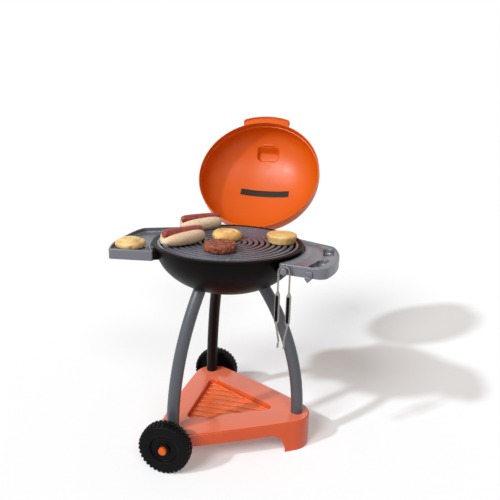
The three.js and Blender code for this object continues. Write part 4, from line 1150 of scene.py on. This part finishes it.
lid = {
    "radius": 0.1865,
    "wall": 0.0025,
    "band": 0.0256,
    "depth": 0.118,
    "inner": 0.181,
    "step": 0.018,
    "rest": 0.0005,
    "openAngle": 128.4,
    "pocketHalf": 0.033,
    "pocketSlope": 0.041,
    "pocketShare": 0.68,
    "pocketDepth": 0.012,
    "pocketCorner": 0.007,
    "pocketRound": 0.013,
    "pocketLean": 0.014,
    "ridgeHalf": 0.021,
    "ridgeRadius": 0.0032,
    "ridgeUp": 0.031,
    "ridgeSink": 0.0028,
    "ridgeBlunt": 0.45,
    "stripLength": 0.158,
    "stripWidth": 0.022,
    "stripShift": 0.007,
    "stripThickness": 0.0008,
    "stripLift": 0.0012,
    "stripEdge": 0.0003,
    "handleWidth": 0.167,
    "handleTurn": -1.3,
    "handleReach": 0.025,
    "handleLow": 0.002,
    "handleHigh": 0.015,
    "handleEndShare": 0.93,
    "handleEdge": 0.0028,
    "handleCorner": 0.010,
    "grooveInset": 0.0048,
    "grooveRoot": 0.0115,
    "grooveDepth": 0.0045,
}
lidPlace = (
    toRow
    @ Matrix.Translation((0, hinge["pinY"], hinge["pinZ"]))
    @ Matrix.Rotation(-radians(lid["openAngle"]), 4, "X")
    @ Matrix.Translation((0, -hinge["pinY"], rim + lid["rest"] - hinge["pinZ"]))
)


def domeHeight(radius, drop=0.0):
    # Height of the dome's inside above the lid's rim.
    wide, high = lid["inner"] - drop, lid["depth"] - lid["wall"] - drop
    return lid["band"] + (high - lid["band"]) * sqrt(max(0, 1 - (radius / wide) ** 2))


def domeProfile(radius, height, steps=30):
    turns = [pi / 2 * i / steps for i in range(steps)]
    curve = [(radius * cos(a), lid["band"] + (height - lid["band"]) * sin(a)) for a in turns]
    return curve + [(0.0, height)]


def pocketPlace():
    t = acos(lid["pocketShare"])
    high = lid["depth"] - lid["wall"] - lid["band"]
    slope = atan2(high * cos(t), lid["inner"] * sin(t))
    place = Matrix.Translation((0, -lid["inner"] * cos(t), lid["band"] + high * sin(t)))
    return place @ Matrix.Rotation(slope, 4, "X")


def lidPocket(grown, levels):
    half, long = lid["pocketHalf"] + grown, lid["pocketSlope"] / 2 + grown
    stack = []
    for inset, height in levels:
        w, l, r = half - inset, long - inset, max(lid["pocketCorner"] + grown - inset, 0.001)
        upper = -l + lid["pocketLean"] * max(0.0, height) / lid["pocketDepth"]
        lower = max(lid["pocketRound"] + grown - inset, 0.001)
        stack.append((rounded([(-w, upper, r), (w, upper, r), (w, l, lower), (-w, l, lower)], 6), height))
    return moved(stacked(stack), pocketPlace())


def pocketRidge():
    # A low moulded ridge between the pocket and the handle.
    bm = bmesh.new()
    bmesh.ops.create_uvsphere(bm, u_segments=24, v_segments=24, radius=1)
    for vert in bm.verts:
        x, y, z = vert.co
        along = copysign(abs(z) ** lid["ridgeBlunt"], z)
        vert.co = (along * lid["ridgeHalf"], x * lid["ridgeRadius"] * 1.3, y * lid["ridgeRadius"])
    return moved(bm, pocketPlace() @ Matrix.Translation((0, -lid["ridgeUp"], -lid["ridgeSink"])))


def lidDome():
    radius, inside, wall, depth = lid["radius"], lid["inner"], lid["wall"], lid["pocketDepth"]
    inner = domeProfile(inside, lid["depth"] - wall)[::-1]
    outer = domeProfile(radius, lid["depth"])
    corners = [
        (inside, lid["step"], 0.0008),
        (radius - wall, lid["step"] - 0.0004, 0.0006),
        (radius - wall, 0, 0.0008),
        (radius, 0, 0.0009),
    ]
    rimLine = rounded([(*inner[-1], 0)] + corners + [(*outer[0], 0)], 4, closed=False)
    shell = spun(inner[:-1] + rimLine + outer[1:], 144)
    # The pocket's box joins the dome, without the part that would stand in the dome's hollow.
    reach = inside + 0.0002
    hollow = spun([(0.0, 0.0), (reach, 0.0)] + domeProfile(reach, lid["depth"] - wall + 0.0002), 144)
    deep = depth + wall
    boss = lidPocket(wall, [(0, -0.012), (0, 0), (0, deep - 0.003), (0.0009, deep - 0.0009), (0.003, deep)])
    shell = combined(shell, combined(boss, hollow), "UNION")
    levels = [(-0.004, -0.02), (-0.004, -0.0022), (-0.0022, -0.0006), (-0.0006, 0.0012), (0, 0.003)]
    for a in (0, 0.4, 0.8, 1.2, pi / 2):
        levels.append((0.004 * (1 - cos(a)), depth - 0.004 + 0.004 * sin(a)))
    return unite(combined(shell, lidPocket(0, levels)), pocketRidge())


def lidStrip():
    bm = bmesh.new()
    bmesh.ops.create_grid(bm, x_segments=48, y_segments=6, size=0.5)
    for vert in bm.verts:
        x = lid["stripShift"] + vert.co.x * lid["stripLength"]
        y = (vert.co.y + 0.5) * lid["stripWidth"]
        vert.co = (x, y, domeHeight(hypot(x, y), lid["stripLift"]))
    bmesh.ops.recalc_face_normals(bm, faces=bm.faces)
    bmesh.ops.solidify(bm, geom=bm.faces[:], thickness=-lid["stripThickness"])
    bmesh.ops.recalc_face_normals(bm, faces=bm.faces)
    return softened(bm, lid["stripEdge"])


def lidHandle():
    inner, outer = lid["radius"] - 0.0005, lid["radius"] + lid["handleReach"]
    half = lid["handleWidth"] / 2 / outer
    front = radians(lid["handleTurn"] - 90)

    def outline(inset, root=None):
        out, ends = outer - inset, half * lid["handleEndShare"] - inset / outer
        root = inner + (root or min(inset, 0.002))
        line = arc((0, 0), out, front - ends, front + ends, 30)
        line += arc((0, 0), root, front + half - inset / outer, front - half + inset / outer, 30)
        corner = max(lid["handleCorner"] - inset, 0.002)
        corners = [(x, y, corner if i in (0, 30) else 0) for i, (x, y) in enumerate(line)]
        return rounded([corners[0]] + corners[4:27] + corners[30:], 6)

    low, high, edge = lid["handleLow"], lid["handleHigh"], lid["handleEdge"]
    levels = [(outline(inset), low + drop) for inset, drop in filletSteps(edge, 5)[::-1]]
    levels += [(outline(inset), high - drop) for inset, drop in filletSteps(edge, 5)]
    inset, depth, root = lid["grooveInset"], lid["grooveDepth"], lid["grooveRoot"]
    steps = ((0.001, -0.004), (0.001, 0), (0, 0.001), (0, depth - 0.0015), (-0.0015, depth))
    groove = [(outline(inset - grown, root - grown), low + height) for grown, height in steps]
    return combined(stacked(levels), stacked(groove))


def hingeArm(side):
    y, z, eye = hinge["pinY"], hinge["pinZ"] - rim - lid["rest"], hinge["armEye"]
    top, inside = lid["band"] - lid["wall"], hinge["armInside"]
    outline = [(*point, 0) for point in arc((y, z), eye, -pi, 0, 16)] + [
        (y + eye, top - eye, 0.005),
        (y - 0.002, top, 0.003),
        (inside, top, 0),
        (inside, lid["wall"], 0),
        (y - eye, lid["wall"], 0.002),
    ]
    near = side * hinge["spread"] - hinge["armWidth"] / 2
    arm = moved(pushed(rounded(outline, 5), near, near + hinge["armWidth"]), sideways)
    return softened(arm, hinge["edge"], angle=50)


addPiece(lidDome(), "lidShell", "orange_plastic", "lid", "lid_dome", lidPlace)
addPiece(lidStrip(), "lidBand", "strip_dark", "lid", "lid_strip", lidPlace)
addPiece(lidHandle(), "lidGrip", "orange_plastic", "lid", "lid_handle", lidPlace)
for side, word in ((-1, "left"), (1, "right")):
    addPiece(hingeArm(side), "lidArm" + word.title(), "orange_plastic", "lid", "hinge_arm_" + word, lidPlace)
print("lid made")


buns = {
    "middle": {
        "place": (-0.0109, 0.0255, 0.54785),
        "radius": 0.040,
        "height": 0.023,
        "sides": [(0.8, 0), (0.95, 0.1), (1, 0.38), (0.96, 0.66), (0.84, 0.88), (0.62, 0.99), (0.35, 1)],
    },
    "right": {
        "place": (0.1334, 0.0375, 0.54785),
        "radius": 0.040,
        "height": 0.024,
        "sides": [(0.78, 0), (0.86, 0.08), (0.93, 0.4), (0.99, 0.72), (0.97, 0.92), (0.86, 1), (0.5, 0.97)],
    },
    "left": {
        "place": (-0.238, -0.076, 0.53165),
        "radius": 0.040,
        "height": 0.023,
        "sides": [(0.82, 0), (0.96, 0.14), (1, 0.42), (0.93, 0.7), (0.78, 0.88), (0.55, 0.97), (0.3, 1)],
    },
}


def smoothProfile(points, steps=6):
    # A soft line through the points.
    ends = [points[0]] + points + [points[-1]]
    line = []
    for i in range(len(points) - 1):
        a, b, c, d = (Vector(ends[i + k]) for k in range(4))
        for t in (k / steps for k in range(steps)):
            curve = 2 * b + (c - a) * t + (2 * a - 5 * b + 4 * c - d) * t**2 + (3 * b - a - 3 * c + d) * t**3
            line.append(tuple(0.5 * curve))
    return line + [points[-1]]


def turnedFood(sides, radius, height, steps):
    line = [(max(r, 0.0) * radius, max(h, 0.0) * height) for r, h in smoothProfile(sides)]
    return spun([(0.0, 0.0), (0.4 * radius, 0.0)] + line, steps)


def lumpShare(height):
    # Lumps start above the flat underside.
    return min(1, height / 0.004)


def bunBody(values, shape):
    radius, height, sides = values["radius"], values["height"], values["sides"]
    bm = turnedFood(sides + [(r, sides[-1][1]) for r in (0.2, 0.08, 0.0)], radius, height, 72)
    for vert in bm.verts:
        vert.co = shape(vert.co, radius, height)
    return bm


def middleBun(co, radius, height):
    # A folded top: a groove curls from the middle round to the right, like a C.
    turn = atan2(co.y, co.x)
    out = hypot(co.x, co.y) / radius
    curl = 0.46 + 0.10 * cos(turn - 0.6)
    parted = 1 - smoothStep(cos(turn - radians(205)), 0.55, 0.95)
    groove = exp(-(((out - curl) / 0.10) ** 2)) * parted * 0.0055
    heart = 0.0035 * exp(-((out / 0.3) ** 2))
    lumps = 0.0009 * noise.noise(co * 70) * lumpShare(co.z)
    top = smoothStep(co.z, height * 0.45, height * 0.9)
    scale = 1 + 0.020 * sin(3 * turn + 0.4) * (co.z / height) - 0.02
    return Vector((co.x * scale, co.y * scale, min(co.z - top * (groove + heart * 0.4) + lumps, height)))


def rightBun(co, radius, height):
    # A tall bun with ribs round its side.
    turn = atan2(co.y, co.x)
    rib = 0.008 * cos(17 * turn + 1.2 * sin(2 * turn)) * smoothStep(co.z, 0.001, 0.006)
    scale = 0.985 + rib * (1 - smoothStep(co.z, height * 0.8, height))
    lumps = 0.0007 * noise.noise(co * 60) * lumpShare(co.z)
    return Vector((co.x * scale, co.y * scale, min(co.z + lumps, height)))


def leftBun(co, radius, height):
    # A flat bun with five soft lobes, a notch in front and a lower middle.
    turn = atan2(co.y, co.x)
    out = hypot(co.x, co.y) / radius
    lobes = 0.985 - 0.020 * (0.5 + 0.5 * cos(5 * turn + 0.9))
    upper = smoothStep(co.z, height * 0.25, height * 0.6)
    scale = lobes - 0.09 * (exp(-(((turn + radians(62)) / 0.10) ** 2)) * (1 - upper))
    step = 0.0022 * smoothStep(out, 0.60, 0.72) * smoothStep(co.z, height * 0.6, height * 0.9)
    lumps = 0.0011 * noise.noise(co * 55 + Vector((3, 1, 7))) * lumpShare(co.z)
    return Vector((co.x * scale, co.y * scale, min(co.z - step + lumps, height)))


shapes = {"middle": (middleBun, None), "right": (rightBun, tallBun), "left": (leftBun, paleBun)}
for word, (shape, material) in shapes.items():
    place = toRow @ Matrix.Translation(buns[word]["place"])
    body = bunBody(buns[word], shape)
    addPiece(body, "bun" + word.title(), "bun_tan", word + "_bun", "bun_" + word, place, 60, material)


patty = {
    "place": (0.0055, -0.0919, 0.54785),
    "radius": 0.043,
    "height": 0.022,
    "sides": [(0.86, 0), (0.97, 0.14), (1, 0.45), (0.98, 0.76), (0.88, 0.95), (0.7, 1), (0.35, 0.98)],
    "lump": 0.0016,
    "lumpScale": 95,
}


def pattyBody():
    sides = patty["sides"] + [(0.1, 0.97), (0.0, 0.97)]
    bm = turnedFood(sides, patty["radius"] - 0.0015, patty["height"] - 0.001, 110)
    bm.normal_update()
    for vert in bm.verts:
        spot = vert.co * patty["lumpScale"]
        lumps = noise.noise(spot) + 0.5 * noise.noise(spot * 2.3)
        spot = vert.co + vert.normal * lumps * patty["lump"] * lumpShare(vert.co.z)
        vert.co = (spot.x, spot.y, max(0, min(spot.z, patty["height"])))
    return bm


place = toRow @ Matrix.Translation(patty["place"])
addPiece(pattyBody(), "pattyMinced", "patty_brown", "patty", "burger_patty", place, 70)


hotDog = {
    "places": {"front": (-0.0965, -0.0710, 53), "rear": (-0.1059, 0.0990, 44)},
    "z": 0.54785,
    "half": 0.061,
    "power": 2.6,
    "height": 0.042,
    "lobes": [(-0.0085, 0.018, 0.0155, 0.017), (0.015, 0.0205, 0.0088, 0.021), (0, 0.012, 0.0215, 0.012)],
    "middle": (0.003, 0.014),
    "lipRise": 0.16,
    "sausageY": 0.0032,
    "sausageZ": 0.0335,
    "sausageRadius": 0.0116,
    "sausageHalf": 0.058,
    "sausagePower": 5,
    "sausageTop": 0.0455,
    "bedGap": 0.0004,
    "halfWidth": 0.0238,
}


def lobeReach(angle):
    # How far the roll's section reaches from its middle in one direction.
    my, mz = hotDog["middle"]
    dy, dz = cos(angle), sin(angle)
    reaches = []
    for y, z, wide, high in hotDog["lobes"]:
        a = (dy / wide) ** 2 + (dz / high) ** 2
        b = 2 * ((my - y) * dy / wide**2 + (mz - z) * dz / high**2)
        c = ((my - y) / wide) ** 2 + ((mz - z) / high) ** 2 - 1
        inside = b * b - 4 * a * c
        if inside > 0:
            reaches.append((-b + sqrt(inside)) / (2 * a))
    return max(reaches + [0.004])


def longSpot(vert, power):
    # For a sphere's vertex: how far along the roll it goes, how full the section is there, and its angle.
    along = max(-1, min(1, vert.co.z))
    x = copysign(sin(abs(along) * pi / 2), along)
    return x, (1 - abs(x) ** power) ** (1 / power), atan2(vert.co.y, vert.co.x)


def rollBody():
    bm = bmesh.new()
    bmesh.ops.create_uvsphere(bm, u_segments=96, v_segments=56, radius=1)
    my, mz = hotDog["middle"]
    sy, sz, bed = hotDog["sausageY"], hotDog["sausageZ"], hotDog["sausageRadius"] + hotDog["bedGap"]
    table = [lobeReach(2 * pi * i / 720) for i in range(720)]
    for vert in bm.verts:
        x, taper, angle = longSpot(vert, hotDog["power"])
        reach = table[round(angle / (2 * pi) * 720) % 720] * (0.16 + 0.84 * taper) * min(1, taper * 3)
        y = my + reach * cos(angle)
        z = mz + reach * sin(angle) + 0.002 * x * x
        if y < my and z > mz:
            # The near lip rises towards the far end, where it hides the sausage.
            z = mz + (z - mz) * (1 + hotDog["lipRise"] * x)
        # The sausage presses its bed into the slit.
        gap = hypot(y - sy, z - sz)
        if 1e-5 < gap < bed and z > mz:
            y = sy + (y - sy) * bed / gap
            z = min(sz + (z - sz) * bed / gap, hotDog["height"])
        spot = Vector((x * hotDog["half"], y, z))
        lumps = 0.0010 * noise.noise(spot * 45) + 0.0004 * noise.noise(spot * 140)
        spot += Vector((0, y - my, z - mz)).normalized() * lumps
        half = hotDog["halfWidth"]
        vert.co = (spot.x, max(-half, min(half, spot.y)), max(0.0, min(spot.z, hotDog["height"])))
    bmesh.ops.smooth_vert(bm, verts=bm.verts, factor=0.5, use_axis_x=False, use_axis_y=True, use_axis_z=True)
    return bm


def sausageBody():
    bm = bmesh.new()
    bmesh.ops.create_uvsphere(bm, u_segments=40, v_segments=60, radius=1)
    for vert in bm.verts:
        x, taper, angle = longSpot(vert, hotDog["sausagePower"])
        ring = hotDog["sausageRadius"] * taper * (1 + 0.02 * noise.noise(Vector((x * 3, angle, 0.3))))
        y = hotDog["sausageY"] + ring * cos(angle)
        z = hotDog["sausageZ"] + ring * sin(angle)
        vert.co = (x * hotDog["sausageHalf"], y, min(z, hotDog["sausageTop"]))
    return bm


for word, (x, y, turn) in hotDog["places"].items():
    place = toRow @ Matrix.Translation((x, y, hotDog["z"])) @ Matrix.Rotation(radians(turn), 4, "Z")
    body, node = word + "_roll", "hot_dog_roll_" + word
    addPiece(rollBody(), "roll" + word.title(), "roll_tan", body, node, place, 70)
    body, node = word + "_sausage", "sausage_" + word
    addPiece(sausageBody(), "sausage" + word.title(), "sausage_red", body, node, place, 70)
print("food made")


def dress(finish, *names):
    for name in names:
        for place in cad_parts[name].material_slots:
            place.material = finishes[finish]


dress("steel", "axle")
for side in ("left", "right"):
    dress("steel", "hinge_pin_" + side, "tray_screw_" + side + "_front", "tray_screw_" + side + "_rear")
dress("black_plastic", "axle_washer_front", "axle_washer_rear")
print("small parts dressed")


studio = {
    "lamps": {
        "key": {"turn": -132.5, "height": 37, "strength": 1.6, "angle": 3, "colour": (0.91, 1, 1.07)},
        "softFront": {"turn": -111, "height": 40.5, "strength": 1.4, "angle": 20, "colour": (1, 1, 1)},
        "softRight": {"turn": -59, "height": 41.4, "strength": 0.42, "angle": 16, "colour": (1, 1, 1)},
    },
    "fill": (0.21, 0.19, 0.175),
    "seenWhite": 1.0,
    "floorColour": (0.95, 0.95, 0.95, 1),
    "floorGlow": 0.18,
    "glowColour": (1.0, 0.97, 0.95, 1),
    "floorSize": 40,
}


def makeFloor():
    bm = bmesh.new()
    bmesh.ops.create_grid(bm, x_segments=1, y_segments=1, size=studio["floorSize"] / 2)
    mesh = bpy.data.meshes.new("studioFloor")
    bm.to_mesh(mesh)
    bm.free()
    material, tree, shader = startMaterial("studioPaper", 1.0, 0.0)
    colour = studio["floorColour"]
    near = [level * 0.995 for level in colour[:3]] + [1]
    tree.links.new(blended(tree, cloud(tree, 3, 3), list(colour), near), shader.inputs["Base Color"])
    # Seen by the camera or in a gloss, the paper glows a little, so it stays white while it keeps its shadow.
    glow = spread(tree, seenDirectly(tree), 0.0, studio["floorGlow"], 0.0, 1.0)
    tree.links.new(glow, shader.inputs["Emission Strength"])
    shader.inputs["Emission Color"].default_value = studio["glowColour"]
    mesh.materials.append(material)
    floor = bpy.data.objects.new("studioFloor", mesh)
    scene.collection.objects.link(floor)


def makeWorld():
    world = bpy.data.worlds.new("studioWorld")
    scene.world = world
    world.use_nodes = True
    tree = world.node_tree
    back = tree.nodes["Background"]
    white = [studio["seenWhite"]] * 3 + [1]
    colour = blended(tree, seenDirectly(tree), list(studio["fill"]) + [1], white)
    tree.links.new(colour, back.inputs["Color"])
    back.inputs["Strength"].default_value = 1.0


def makeLamps():
    for name, values in studio["lamps"].items():
        lamp = bpy.data.lights.new(name, "SUN")
        lamp.energy = values["strength"]
        lamp.angle = radians(values["angle"])
        lamp.color = values["colour"]
        turn, height = radians(values["turn"]), radians(values["height"])
        level = cos(height)
        towards = Vector((level * cos(turn), level * sin(turn), sin(height)))
        sun = bpy.data.objects.new(name, lamp)
        sun.rotation_euler = towards.to_track_quat("Z", "Y").to_euler()
        scene.collection.objects.link(sun)


camera = {
    "place": (0.37531, -1.37795, 0.91510),
    "yaw": 12.946521,
    "pitch": 15.236833,
    "roll": 1.863749,
    "lens": 40.98884,
}


def makeCamera():
    yaw, pitch, roll = (radians(camera[key]) for key in ("yaw", "pitch", "roll"))
    right = Vector((cos(yaw), sin(yaw), 0))
    ahead = Vector((-sin(yaw) * cos(pitch), cos(yaw) * cos(pitch), -sin(pitch)))
    up = right.cross(ahead)
    axisX = right * cos(roll) + up * sin(roll)
    axisY = up * cos(roll) - right * sin(roll)
    turn = Matrix((axisX, axisY, -ahead)).transposed().to_4x4()
    lens = bpy.data.cameras.new("studioCamera")
    lens.lens = camera["lens"]
    lens.sensor_width = 36
    lens.clip_end = 100
    view = bpy.data.objects.new("studioCamera", lens)
    view.matrix_world = toRow @ Matrix.Translation(camera["place"]) @ turn
    scene.collection.objects.link(view)
    scene.camera = view


makeFloor()
makeWorld()
makeLamps()
makeCamera()
scene.view_settings.view_transform = "Standard"
print("studio made")
